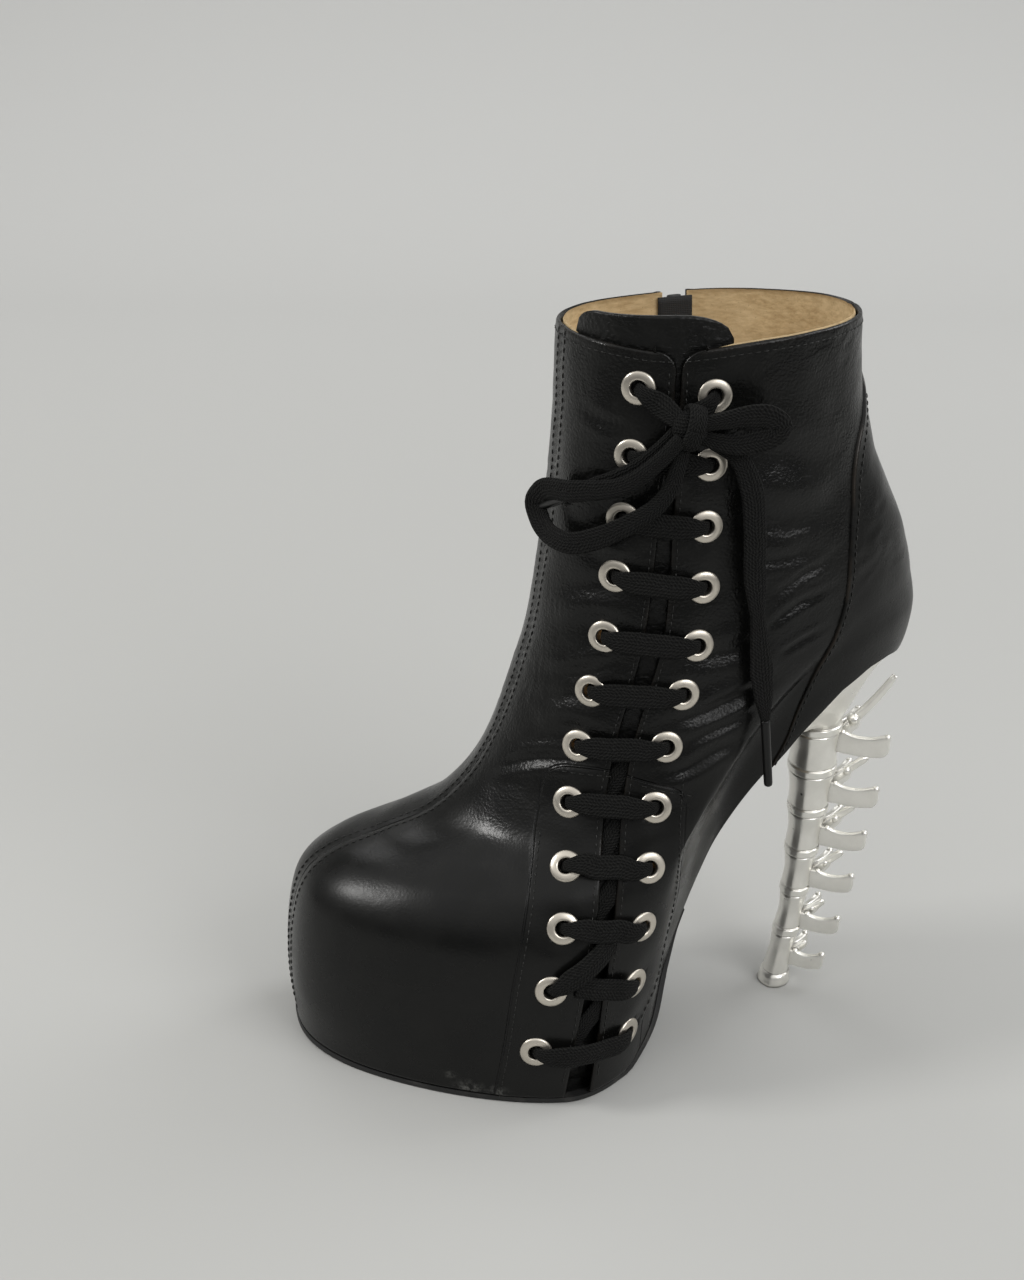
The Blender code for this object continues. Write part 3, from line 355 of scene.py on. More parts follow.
def joined(name, meshes, finishes):
    """One object of several meshes."""
    shape = bmesh.new()
    for mesh in meshes:
        shape.from_mesh(mesh)
        bpy.data.meshes.remove(mesh)
    made = bpy.data.meshes.new(name)
    shape.to_mesh(made)
    shape.free()
    return add_mesh(name, made, finishes)


def finished(item, slot, *nodes, body=BOOT):
    """Lets a piece ride on its body and stand for its solids, which it hides; the slot is not used."""
    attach(item, body)
    if nodes:
        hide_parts(*nodes)
    return item


# Geometry Nodes trees

def items_tree(name, along_a_line):
    """Tree that sets an item on points, or every Spacing along lines, standing on their "out" direction."""
    tree = bpy.data.node_groups.new(name, "GeometryNodeTree")
    inputs = {"Geometry": "Geometry", "Item": "Object", "Spacing": "Float", "Material": "Material"}
    for label, kind in inputs.items():
        tree.interface.new_socket(label, in_out="INPUT", socket_type="NodeSocket" + kind)
    tree.interface.new_socket("Geometry", in_out="OUTPUT", socket_type="NodeSocketGeometry")
    nodes, link = tree.nodes, tree.links.new
    start, end = nodes.new("NodeGroupInput"), nodes.new("NodeGroupOutput")

    def direction(label):
        named = nodes.new("GeometryNodeInputNamedAttribute")
        named.data_type = "FLOAT_VECTOR"
        named.inputs["Name"].default_value = label
        return named.outputs["Attribute"]

    item = nodes.new("GeometryNodeObjectInfo")
    link(start.outputs["Item"], item.inputs["Object"])
    turn = nodes.new("FunctionNodeAxesToRotation")
    turn.primary_axis, turn.secondary_axis = "Z", "X"
    link(direction("out"), turn.inputs["Primary Axis"])
    set_on = nodes.new("GeometryNodeInstanceOnPoints")
    if along_a_line:
        line = nodes.new("GeometryNodeMeshToCurve")
        spaced = nodes.new("GeometryNodeResampleCurve")
        spaced.mode = "LENGTH"
        link(start.outputs["Geometry"], line.inputs["Mesh"])
        link(line.outputs["Curve"], spaced.inputs["Curve"])
        link(start.outputs["Spacing"], spaced.inputs["Length"])
        link(spaced.outputs["Curve"], set_on.inputs["Points"])
        ahead = nodes.new("GeometryNodeInputTangent").outputs["Tangent"]
    else:
        link(start.outputs["Geometry"], set_on.inputs["Points"])
        ahead = direction("ahead")
    link(ahead, turn.inputs["Secondary Axis"])
    link(item.outputs["Geometry"], set_on.inputs["Instance"])
    link(turn.outputs["Rotation"], set_on.inputs["Rotation"])
    real = nodes.new("GeometryNodeRealizeInstances")
    paint = nodes.new("GeometryNodeSetMaterial")
    link(set_on.outputs["Instances"], real.inputs["Geometry"])
    link(real.outputs["Geometry"], paint.inputs["Geometry"])
    link(start.outputs["Material"], paint.inputs["Material"])
    link(paint.outputs["Geometry"], end.inputs["Geometry"])
    return tree


def set_items(name, tree, guide, item_mesh, finish, spacing=1.0):
    """Plain object with an item on every point or along every line of a guide mesh."""
    item = bpy.data.objects.new(name + "_item", item_mesh)
    bpy.context.scene.collection.objects.link(item)
    made = bpy.data.objects.new(name, guide)
    bpy.context.scene.collection.objects.link(made)
    step = made.modifiers.new("items", "NODES")
    step.node_group = tree
    sockets = {s.name: s.identifier for s in tree.interface.items_tree if s.in_out == "INPUT"}
    step[sockets["Item"]] = item
    step[sockets["Spacing"]] = spacing * MM
    step[sockets["Material"]] = finish
    bpy.context.view_layer.update()
    applied(made)
    bpy.data.objects.remove(item)
    made.data.shade_smooth()
    return made


def guide_of(name, lines, directions, linked=True):
    """Guide mesh of lines, or of loose points, with vector attributes."""
    mesh = bpy.data.meshes.new(name)
    points = np.concatenate(lines)
    edges, first = [], 0
    for line in lines:
        edges += [(first + k, first + k + 1) for k in range(len(line) - 1)] if linked else []
        first += len(line)
    mesh.from_pydata(placed(points).tolist(), edges, [])
    for key, values in directions.items():
        layer = mesh.attributes.new(key, "FLOAT_VECTOR", "POINT")
        layer.data.foreach_set("vector", np.concatenate(values).astype(np.float32).ravel())
    return mesh


# Shader helpers

def new_finish(name, colour, roughness, metallic=0.0, **sockets):
    made = bpy.data.materials.new(name)
    made.use_nodes = True
    shader = made.node_tree.nodes["Principled BSDF"]
    shader.inputs["Base Color"].default_value = (*colour, 1.0)
    shader.inputs["Roughness"].default_value = roughness
    shader.inputs["Metallic"].default_value = metallic
    for key, value in sockets.items():
        shader.inputs[key.replace("_", " ")].default_value = value
    return made


def fill(tree, socket, value):
    """Links a node's output to a socket, or sets the socket to a plain value."""
    if isinstance(value, bpy.types.NodeSocket):
        tree.links.new(value, socket)
    else:
        socket.default_value = value


def node(tree, kind, values=None, **settings):
    made = tree.nodes.new(kind)
    for key, value in settings.items():
        setattr(made, key, value)
    for key, value in (values or {}).items():
        fill(tree, made.inputs[key], value)
    return made


def maths(tree, operation, first, second=0.0, third=0.0):
    return node(tree, "ShaderNodeMath", {0: first, 1: second, 2: third}, operation=operation).outputs[0]


def ramp(tree, value, low, high, from_value=0.0, to_value=1.0):
    """Soft rise from from_value to to_value as value goes from low to high."""
    made = node(tree, "ShaderNodeMapRange", {"Value": value, "From Min": low, "From Max": high,
                                             "To Min": from_value, "To Max": to_value})
    made.interpolation_type = "SMOOTHSTEP"
    return made.outputs["Result"]


def mixed(tree, share, first, second):
    made = node(tree, "ShaderNodeMix", {"Factor": share}, data_type="RGBA")
    for key, value in ((6, first), (7, second)):
        fill(tree, made.inputs[key], (*value, 1.0) if isinstance(value, tuple) else value)
    return made.outputs[2]


def attribute(tree, name):
    return node(tree, "ShaderNodeAttribute", attribute_name=name).outputs["Fac"]


def object_place(tree):
    return node(tree, "ShaderNodeTexCoord").outputs["Object"]


def noise_at(tree, place, scale, detail=3.0, rough=0.55):
    return node(tree, "ShaderNodeTexNoise", {"Vector": place, "Scale": scale, "Detail": detail,
                                             "Roughness": rough}).outputs["Fac"]


def group_with(name, inputs, outputs):
    tree = bpy.data.node_groups.new(name, "ShaderNodeTree")
    for label, kind, value in inputs:
        tree.interface.new_socket(label, in_out="INPUT", socket_type=kind).default_value = value
    for label, kind in outputs:
        tree.interface.new_socket(label, in_out="OUTPUT", socket_type=kind)
    return tree, tree.nodes.new("NodeGroupInput").outputs, tree.nodes.new("NodeGroupOutput").inputs


def grain_group():
    """Hide grain: pebbles, fine wrinkles and pores as one height, with a slow mottle beside it."""
    tree, start, end = group_with(
        "hide_grain",
        [("Pebble", "NodeSocketFloat", 900.0), ("Wrinkle", "NodeSocketFloat", 1.6)],
        [("Height", "NodeSocketFloat"), ("Mottle", "NodeSocketFloat")],
    )
    place = object_place(tree)
    shift = node(tree, "ShaderNodeTexNoise", {"Vector": place, "Scale": 260.0, "Detail": 2.0})
    bent = node(tree, "ShaderNodeMix", {"Factor": 0.0016, 4: place, 5: shift.outputs["Color"]},
                data_type="VECTOR")
    cells = node(tree, "ShaderNodeTexVoronoi", {"Vector": bent.outputs[1], "Scale": start["Pebble"]},
                 feature="SMOOTH_F1")
    pebble = maths(tree, "SUBTRACT", 1.0, cells.outputs["Distance"])
    flat = node(tree, "ShaderNodeMapping", {"Vector": place, "Scale": (1.0, 0.45, 1.7)}).outputs["Vector"]
    lines = maths(tree, "ABSOLUTE", maths(tree, "SUBTRACT", noise_at(tree, flat, 330.0, 4.0), 0.5))
    lines = maths(tree, "MULTIPLY", lines, start["Wrinkle"])
    fine = maths(tree, "MULTIPLY", noise_at(tree, place, 2600.0, 2.0), 0.25)
    tree.links.new(maths(tree, "ADD", maths(tree, "ADD", pebble, lines), fine), end["Height"])
    tree.links.new(noise_at(tree, place, 55.0, 4.0), end["Mottle"])
    return tree


def wear_group():
    """Worn leather: scuffs and rubbed edges, as a mask made ragged by noise."""
    tree, start, end = group_with(
        "rubbed", [("Edge", "NodeSocketFloat", 0.0), ("Scuff", "NodeSocketFloat", 0.0)],
        [("Edge Mask", "NodeSocketFloat"), ("Scuff Mask", "NodeSocketFloat")],
    )
    place = object_place(tree)
    ragged = noise_at(tree, place, 420.0, 5.0, 0.7)
    edge = maths(tree, "MULTIPLY", start["Edge"], ramp(tree, noise_at(tree, place, 90.0, 4.0), 0.35, 0.62))
    scuff = maths(tree, "MULTIPLY", start["Scuff"], ramp(tree, ragged, 0.42, 0.62))
    tree.links.new(edge, end["Edge Mask"])
    tree.links.new(scuff, end["Scuff Mask"])
    return tree


def weave_group():
    """Braided cord: two slanting sets of strands over the piece's own UV map, as a height and a painted
    shade that is dark in the hollows between strands and light on their tops.
    """
    tree, start, end = group_with(
        "braid", [("Pitch", "NodeSocketFloat", 1.3)],
        [("Height", "NodeSocketFloat"), ("Shade", "NodeSocketFloat")],
    )
    uv = node(tree, "ShaderNodeUVMap", uv_map="UVMap").outputs["UV"]
    parts = node(tree, "ShaderNodeSeparateXYZ", {"Vector": uv})
    turns = maths(tree, "DIVIDE", 2 * math.pi / MM, start["Pitch"])
    run = maths(tree, "MULTIPLY", parts.outputs["X"], turns)
    across = maths(tree, "MULTIPLY", parts.outputs["Y"], turns)
    steep = maths(tree, "MULTIPLY", maths(tree, "ABSOLUTE", across), 0.9)
    uneven = maths(tree, "MULTIPLY", noise_at(tree, object_place(tree), 420.0, 3.0, 0.6), 9.0)
    strands = maths(tree, "SINE", maths(tree, "ADD", maths(tree, "ADD", run, steep), uneven))
    columns = maths(tree, "COSINE", maths(tree, "ADD", maths(tree, "MULTIPLY", across, 1.15), uneven))
    fuzz = noise_at(tree, object_place(tree), 3200.0, 3.0, 0.7)
    height = maths(tree, "MULTIPLY", maths(tree, "ADD", strands, columns), 0.5)
    tree.links.new(maths(tree, "ADD", height, maths(tree, "MULTIPLY", fuzz, 0.9)), end["Height"])
    # Painted shade: the shade follows the strands' height, darkest in the hollows of the braid.
    tree.links.new(ramp(tree, height, -0.8, 0.9), end["Shade"])
    return tree


def use_group(tree, group, **values):
    made = tree.nodes.new("ShaderNodeGroup")
    made.node_tree = group
    for key, value in values.items():
        fill(tree, made.inputs[key], value)
    return made.outputs


def bump_into(finish, height, depth, strength=1.0, under=None):
    tree = finish.node_tree
    values = {"Height": height, "Distance": depth * MM, "Strength": strength}
    if under is not None:
        values["Normal"] = under
    made = node(tree, "ShaderNodeBump", values)
    tree.links.new(made.outputs["Normal"], tree.nodes["Principled BSDF"].inputs["Normal"])
    return made.outputs["Normal"]


def feed(finish, socket, value):
    finish.node_tree.links.new(value, finish.node_tree.nodes["Principled BSDF"].inputs[socket])


# Finishes

LEATHER_BLACK = (0.0032, 0.0033, 0.0031)
RUBBED_BROWN = (0.032, 0.025, 0.019)
SCUFF_GREY = (0.12, 0.12, 0.112)
LINING_TAN = (0.60, 0.445, 0.245)


def leather_finish(name, groups, pebble=1100.0, depth=0.13, roughness=0.27, attributes=True):
    """Black smooth leather: grain, seam grooves darkened with painted shade, rubbed edges and scuffs."""
    made = new_finish(name, LEATHER_BLACK, roughness, Specular_IOR_Level=0.25)
    tree = made.node_tree
    grain = use_group(tree, groups["grain"], Pebble=pebble)
    bumps = grain["Height"]
    if attributes:
        bumps = maths(tree, "MULTIPLY", bumps, attribute(tree, "grain"))
    normal = bump_into(made, bumps, depth)
    gloss = ramp(tree, grain["Mottle"], 0.3, 0.7, roughness - 0.05, roughness + 0.07)
    colour = mixed(tree, ramp(tree, grain["Mottle"], 0.3, 0.75), LEATHER_BLACK, (0.005, 0.005, 0.0046))
    if attributes:
        rub = use_group(tree, groups["wear"], Edge=attribute(tree, "edge"), Scuff=attribute(tree, "scuff"))
        colour = mixed(tree, rub["Edge Mask"], colour, RUBBED_BROWN)
        colour = mixed(tree, rub["Scuff Mask"], colour, SCUFF_GREY)
        gloss = maths(tree, "ADD", gloss, maths(tree, "MULTIPLY", rub["Scuff Mask"], 0.3))
        nearest = maths(tree, "MINIMUM", maths(tree, "ABSOLUTE", attribute(tree, "seam")),
                        maths(tree, "ABSOLUTE", attribute(tree, "panel")))
        groove = ramp(tree, nearest, 0.08, 0.6)
        bump_into(made, groove, 0.45, under=normal)
        # Painted shade: the colour goes darker in the seam and panel-border grooves.
        colour = mixed(tree, groove, (0.003, 0.003, 0.003), colour)
    feed(made, "Base Color", colour)
    feed(made, "Roughness", gloss)
    return made


def lining_finish(name, groups):
    """Tan pigskin: soft mottle, fine pores and short hairs of darker colour."""
    made = new_finish(name, LINING_TAN, 0.82)
    tree = made.node_tree
    place = object_place(tree)
    slanted = node(tree, "ShaderNodeMapping", {"Vector": place, "Rotation": (0.5, 0.2, 0.0),
                                               "Scale": (1.0, 0.35, 1.6)}).outputs["Vector"]
    streaks = noise_at(tree, slanted, 420.0, 5.0, 0.65)
    patches = noise_at(tree, place, 45.0, 4.0)
    colour = mixed(tree, ramp(tree, streaks, 0.32, 0.66), (0.42, 0.29, 0.14), LINING_TAN)
    colour = mixed(tree, ramp(tree, patches, 0.35, 0.7, 0.0, 0.55), colour, (0.66, 0.51, 0.30))
    pores = node(tree, "ShaderNodeTexVoronoi", {"Vector": place, "Scale": 620.0}).outputs["Distance"]
    colour = mixed(tree, ramp(tree, pores, 0.04, 0.16, 0.55, 0.0), colour, (0.24, 0.15, 0.07))
    feed(made, "Base Color", colour)
    grain = use_group(tree, groups["grain"], Pebble=700.0)
    bump_into(made, maths(tree, "ADD", grain["Height"], streaks), 0.09)
    return made


def cord_finish(name, groups):
    made = new_finish(name, (0.005, 0.005, 0.005), 0.88, Specular_IOR_Level=0.22)
    tree = made.node_tree
    braid = use_group(tree, groups["braid"])
    # Painted shade and highlight: the cord is darker in the braid's hollows and lighter on its raised
    # strands.
    colour = mixed(tree, braid["Shade"], (0.0012, 0.0012, 0.0012), (0.0125, 0.0125, 0.0115))
    feed(made, "Base Color", colour)
    bump_into(made, braid["Height"], 0.42)
    return made


def metal_finish(name, colour, roughness, cloud=60.0, depth=0.006):
    """Plated metal with a faint cloudiness and fine handling marks."""
    made = new_finish(name, colour, roughness, 1.0)
    tree = made.node_tree
    place = object_place(tree)
    haze = noise_at(tree, place, cloud, 5.0)
    feed(made, "Roughness", ramp(tree, haze, 0.3, 0.7, roughness - 0.06, roughness + 0.09))
    dull = tuple(0.86 * c for c in colour)
    feed(made, "Base Color", mixed(tree, ramp(tree, haze, 0.3, 0.7), dull, colour))
    bump_into(made, noise_at(tree, place, 2200.0, 4.0), depth)
    return made


def silver_finish():
    """Satin silver coat of the heel, with a pearly mottle, painted shade in its hollows and a few dark
    specks.
    """
    colour = (0.91, 0.895, 0.845)
    made = new_finish("satin_silver", colour, 0.32, 0.86)
    tree = made.node_tree
    place = object_place(tree)
    haze = noise_at(tree, place, 130.0, 6.0, 0.6)
    tone = mixed(tree, ramp(tree, haze, 0.3, 0.72), (0.84, 0.825, 0.775), colour)
    # Painted shade: ambient occlusion darkens the silver towards grey-brown in the ring grooves and where
    # the blades and spines meet the column.
    hollow = node(tree, "ShaderNodeAmbientOcclusion", {"Distance": 4.0 * MM}, samples=8, inside=False)
    tone = mixed(tree, ramp(tree, hollow.outputs["AO"], 0.25, 0.85), (0.30, 0.29, 0.265), tone)
    specks = node(tree, "ShaderNodeTexVoronoi", {"Vector": place, "Scale": 120.0}).outputs["Distance"]
    rare = ramp(tree, noise_at(tree, place, 60.0, 2.0), 0.62, 0.66)
    spots = maths(tree, "MULTIPLY", ramp(tree, specks, 0.05, 0.09, 1.0, 0.0), rare)
    feed(made, "Base Color", mixed(tree, spots, tone, (0.12, 0.115, 0.10)))
    feed(made, "Roughness", ramp(tree, haze, 0.25, 0.75, 0.27, 0.37))
    bump_into(made, noise_at(tree, place, 900.0, 4.0), 0.012)
    return made


def tape_finish():
    """Black woven zip tape: ribs along and across."""
    made = new_finish("zip_tape_weave", (0.012, 0.012, 0.0125), 0.8)
    tree = made.node_tree
    place = object_place(tree)
    ribs = [node(tree, "ShaderNodeTexWave", {"Vector": place, "Scale": 480.0, "Distortion": 0.6},
                 bands_direction=way).outputs["Fac"] for way in ("Z", "Y")]
    bump_into(made, maths(tree, "MULTIPLY", *ribs), 0.12)
    return made


def rubber_finish():
    made = new_finish("sole_black", (0.011, 0.011, 0.011), 0.62)
    tree = made.node_tree
    place = object_place(tree)
    dust = ramp(tree, noise_at(tree, place, 70.0, 6.0, 0.65), 0.5, 0.75)
    feed(made, "Base Color", mixed(tree, dust, (0.010, 0.010, 0.010), (0.045, 0.043, 0.04)))
    bump_into(made, noise_at(tree, place, 1500.0, 4.0), 0.05)
    return made


def make_finishes():
    groups = {"grain": grain_group(), "wear": wear_group(), "braid": weave_group()}
    return {
        "leather": leather_finish("black_leather", groups),
        "plain_leather": leather_finish("plain_black_leather", groups, attributes=False),
        "tongue": leather_finish("pebbled_leather", groups, pebble=640.0, depth=0.3, roughness=0.3,
                                 attributes=False),
        "lining": lining_finish("tan_lining", groups),
        "thread": new_finish("black_thread", (0.012, 0.012, 0.011), 0.4, Specular_IOR_Level=0.35),
        "cord": cord_finish("black_braid", groups),
        "tip": new_finish("lace_tip_black", (0.004, 0.004, 0.004), 0.3, Specular_IOR_Level=0.3),
        "nickel": metal_finish("nickel", (0.70, 0.65, 0.57), 0.36),
        "silver": silver_finish(),
        "tape": tape_finish(),
        "coil": new_finish("zip_coil_black", (0.012, 0.012, 0.012), 0.42),
        "sole": rubber_finish(),
    }


# Leather surface: lines are y, z on the outer side, or on the inner side where side is -1

FRONT_BORDER = ((3.0, -52.2), (25.2, -49.4), (47.4, -46.5), (72.1, -40.9), (90.6, -34.2), (114.0, -28.5))
BACK_BORDER = (
    (20.0, 2.0), (25.2, 5.1), (30.8, 9.1), (42.5, 11.2), (58.9, 14.2), (91.4, 13.1), (112.0, 14.5),
)
PANEL_TOP = ((-30.0, 113.0), (-10.0, 114.0), (0.0, 111.5), (15.0, 107.5))
PANEL_STEP = 0.3
CREASE_COLUMNS = ("side", "depth", "width", "line")
CREASES = (
    (1, 0.55, 1.5, ((41.3, 171.0), (52.0, 177.1), (65.4, 182.3))),
    (1, 0.55, 1.6, ((37.7, 157.2), (48.9, 166.5), (66.9, 172.1))),
    (1, 0.45, 1.3, ((44.0, 150.0), (55.0, 155.0), (66.0, 158.0))),
    (1, 0.8, 3.0, ((6.3, 152.0), (22.6, 153.5), (34.7, 155.0), (49.6, 155.6))),
    (1, 1.0, 2.4, ((0.5, 130.5), (21.2, 134.3), (35.2, 139.2), (50.7, 144.6))),
    (1, 0.6, 1.5, ((12.0, 124.0), (26.0, 128.5), (40.0, 133.0))),
    (1, 0.8, 2.2, ((-1.0, 113.4), (13.1, 114.8), (26.0, 120.8), (43.0, 122.0))),
    (1, -0.9, 3.6, ((-26.0, 162.2), (-14.9, 169.2), (-2.1, 169.3))),
    (1, 0.9, 2.4, ((-30.3, 139.6), (-21.6, 144.0), (-4.3, 152.9))),
    (1, -1.0, 3.8, ((-31.3, 123.4), (-21.9, 131.8), (-9.1, 130.6))),
    (1, 0.8, 2.0, ((-45.5, 103.0), (-30.6, 113.5), (-10.8, 116.9))),
    (1, 0.5, 5.0, ((27.0, 223.4), (45.9, 217.5), (66.0, 212.0))),
    (1, -0.6, 6.5, ((24.0, 213.0), (42.0, 208.0), (66.0, 204.5))),
    (1, 0.45, 4.6, ((24.0, 203.0), (44.8, 198.2), (68.5, 198.2))),
    (1, 0.5, 2.0, ((-18.9, 232.8), (-12.3, 229.7), (-4.4, 229.9))),
    (1, 0.5, 1.6, ((-17.0, 213.0), (-10.0, 211.0), (-5.0, 212.0))),
    (1, -0.8, 3.0, ((-18.0, 192.0), (-10.0, 189.0), (-1.0, 190.0))),
    (1, 0.5, 2.2, ((28.0, 186.0), (44.0, 184.0), (58.0, 188.0))),
    (-1, 0.8, 3.0, ((-26.0, 128.0), (-8.0, 138.0), (18.0, 144.0))),
    (-1, -0.7, 3.6, ((-30.0, 118.0), (-8.0, 126.0), (20.0, 130.0))),
    (-1, 0.6, 2.0, ((-36.0, 104.0), (-12.0, 114.0), (14.0, 118.0))),
    (-1, 0.7, 2.4, ((48.0, 158.0), (60.0, 166.0), (76.0, 172.0))),
    (-1, 0.5, 1.6, ((46.0, 148.0), (58.0, 153.0), (74.0, 158.0))),
    (-1, -0.6, 3.5, ((-14.0, 196.0), (4.0, 192.0), (22.0, 195.0))),
    (-1, 0.6, 2.6, ((-12.0, 188.0), (4.0, 184.0), (24.0, 186.0))),
)
FOLD_STRENGTH = 1.2
WRINKLE_HEIGHT = 0.13
EYELET_DENT = 0.45
EYELET_PUCKER = 0.55
FRONT_SEAM_DENT = 0.35
BACK_SEAM_DENT = 0.25
SEAM_WIDTH = 1.2
SCUFFS = ((-60.1, 4.5, 3.4), (-51.6, 4.5, 2.4), (-66.0, 9.0, 1.2))


def coarse_tree():
    """The plain last, for finding points by y and z."""
    turns = np.linspace(0, 2 * np.pi, 181)[:-1]
    around = skin(turns[None], np.linspace(0, TOP_LEVEL, 121)[:, None])
    return BVHTree.FromPolygons([tuple(p) for p in around.reshape(-1, 3)],
                                grid_faces(*around.shape[:2], closed=True))


def on_side(tree, y, z, side=1):
    """Point and outward direction on the outer or inner side at y and z."""
    hit, out, _, _ = tree.ray_cast(Vector((200.0 * side, y, z)), Vector((-side, 0, 0)))
    out = np.array(out)
    return np.array(hit), out if out[0] * side > 0 else -out


def line_on_side(tree, line, side=1, spacing=1.0):
    found = [on_side(tree, y, z, side) for y, z in route(line, spacing)]
    return np.array([p for p, _ in found]), np.array([n for _, n in found])


def away_from(points, line):
    """Distance of each point from a line's points, and the nearest one's share of the line."""
    best = np.full(len(points), np.inf)
    share = np.zeros(len(points))
    for k, spot in enumerate(line):
        far = np.linalg.norm(points - spot, axis=1)
        nearer = far < best
        best[nearer] = far[nearer]
        share[nearer] = k / (len(line) - 1)
    return best, share


def eyelet_spots(tree):
    """Where each lace ring sits: its centre and outward direction, front and back of each row in turn."""
    found = []
    for heights in EYELET_HEIGHTS:
        for column, z in enumerate(heights):
            y = through(LACE_LINE, z)[column]
            centre, _ = on_side(tree, y, z)
            rim = []
            for turn in np.linspace(0, 2 * np.pi, 13)[:-1]:
                reach = 0.8 * EYELET_RADIUS
                rim.append(on_side(tree, y + reach * math.cos(turn), z + reach * math.sin(turn))[0])
            spread = np.array(rim) - np.mean(rim, axis=0)
            out = np.linalg.svd(spread)[2][2]
            out = out if out[0] > 0 else -out
            found.append({"point": centre, "out": out})
    return found


def waves(points, size, seed):
    return np.array([noise.noise(Vector(p / size) + Vector((seed, 0.0, 0.0))) for p in points])


def wrinkles(points):
    """Fine slanting ridges in patches, from -1 to 1."""
    slanted = points.copy()
    slanted[:, 2] -= 0.3 * points[:, 1]
    ridge = 1 - 2.6 * np.abs(waves(slanted / np.array((1.0, 3.2, 1.0)), 5.2, 17.0))
    return ridge * smooth(waves(points, 24.0, 29.0), -0.22, 0.3)


def soft_least(first, second, blend=7.0):
    """Smaller of two distances, with a rounded corner where they are alike."""
    near = np.clip(0.5 + 0.5 * (second - first) / blend, 0, 1)
    return second + (first - second) * near - blend * near * (1 - near)


def panel_inside(points):
    """Signed distance into the lower lace panel, positive inside it, in the side view."""
    y, z = points[:, 1], points[:, 2]
    ahead = y - through(FRONT_BORDER, z)
    behind = through(BACK_BORDER, z) - y
    below = through(PANEL_TOP, y) - z
    inside = soft_least(soft_least(ahead, behind), below)
    return np.where(points[:, 0] > 0, inside, -20.0)


class Leather:
    """The upper's skin with its creases, panel step and dents, at any angle and level."""

    def __init__(self):
        self.tree = coarse_tree()
        self.eyelets = eyelet_spots(self.tree)
        self.folds = []
        for row in CREASES:
            crease = dict(zip(CREASE_COLUMNS, row))
            crease["path"] = line_on_side(self.tree, crease["line"], crease["side"], 1.5)[0]
            self.folds.append(crease)
        self.seam_line = skin(np.zeros(160), np.linspace(0, TOP_LEVEL, 160))
        self.back_line = skin(np.full(160, np.pi), np.linspace(0, TOP_LEVEL, 160))

    def rise(self, points, level):
        """Height of the leather over the plain last, and the attributes of its finish."""
        loose = 0.3 + 0.7 * smooth(level, 4.5, 7.5)
        height = loose * (0.55 * waves(points, 26.0, 3.0) + 0.22 * waves(points, 9.0, 11.0))
        height += WRINKLE_HEIGHT * smooth(level, 5.0, 8.0) * wrinkles(points)
        for fold in self.folds:
            low, high = fold["path"].min(0) - 12, fold["path"].max(0) + 12
            near = np.flatnonzero(((points > low) & (points < high)).all(1))
            far, share = away_from(points[near], fold["path"])
            t = far / fold["width"]
            profile = -np.exp(-t ** 2) + 0.5 * np.exp(-((t - 1.9) / 0.9) ** 2)
            height[near] += FOLD_STRENGTH * fold["depth"] * profile * np.sin(np.pi * share) ** 1.3
        for eyelet in self.eyelets:
            height -= EYELET_DENT * bell(np.linalg.norm(points - eyelet["point"], axis=1), 7.5)
        for first, second in zip(self.eyelets[:-2], self.eyelets[2:]):
            middle = (first["point"] + second["point"]) / 2
            height += EYELET_PUCKER * bell(np.linalg.norm(points - middle, axis=1), 6.0)
        inside = panel_inside(points)
        height += PANEL_STEP * smooth(inside, -0.7, 0.9)
        front = away_from(points, self.seam_line)[0]
        back = away_from(points, self.back_line)[0]
        height -= FRONT_SEAM_DENT * bell(front, SEAM_WIDTH) + BACK_SEAM_DENT * bell(back, SEAM_WIDTH)
        seam = np.minimum(np.minimum(front, back), 6.0)
        panel = np.clip(inside, -6.0, 6.0)
        scuff = np.zeros(len(points))
        for y, z, size in SCUFFS:
            far = np.hypot(points[:, 1] - y, (points[:, 2] - z) * 1.6)
            scuff = np.maximum(scuff, np.where(points[:, 0] > 0, bell(far, size), 0))
        return height, seam, panel, scuff

    def at(self, theta, level, lift=0.0):
        """Points of the leather, lifted by this much, with their outward directions and attributes."""
        theta, level = np.broadcast_arrays(np.asarray(theta, float), np.asarray(level, float))
        theta, level = theta.ravel(), level.ravel()
        plain, out = skin(theta, level), skin_normal(theta, level)
        height, seam, panel, scuff = self.rise(plain, level)
        return plain + out * (height + np.ravel(lift))[:, None], out, seam, panel, scuff


EDGE_STEPS = np.array((0.0, 0.3, 0.7, 1.2))
EDGE_ROUND = 1.0


def spaced_stops(first, last, count):
    """Even places between two stops, both ends left out."""
    return np.linspace(first, last, count + 2)[1:-1]


def upper_rows():
    """Levels of the rows: even along the laced side, closer together at both ends."""
    levels = np.linspace(0, TOP_LEVEL, 600)
    run = np.concatenate([[0], np.cumsum(np.linalg.norm(np.diff(skin(1.08, levels), axis=0), axis=1))])
    length = run[-1]
    top = length - np.concatenate([np.linspace(10.0, 1.6, 16), EDGE_STEPS[::-1]])
    places = np.concatenate([EDGE_STEPS, np.linspace(2.0, length - 10.6, 208), top])
    return np.interp(places, run, levels)


UPPER_COUNTS = (92, 40, 44, 88)
LINING_START = 1.0


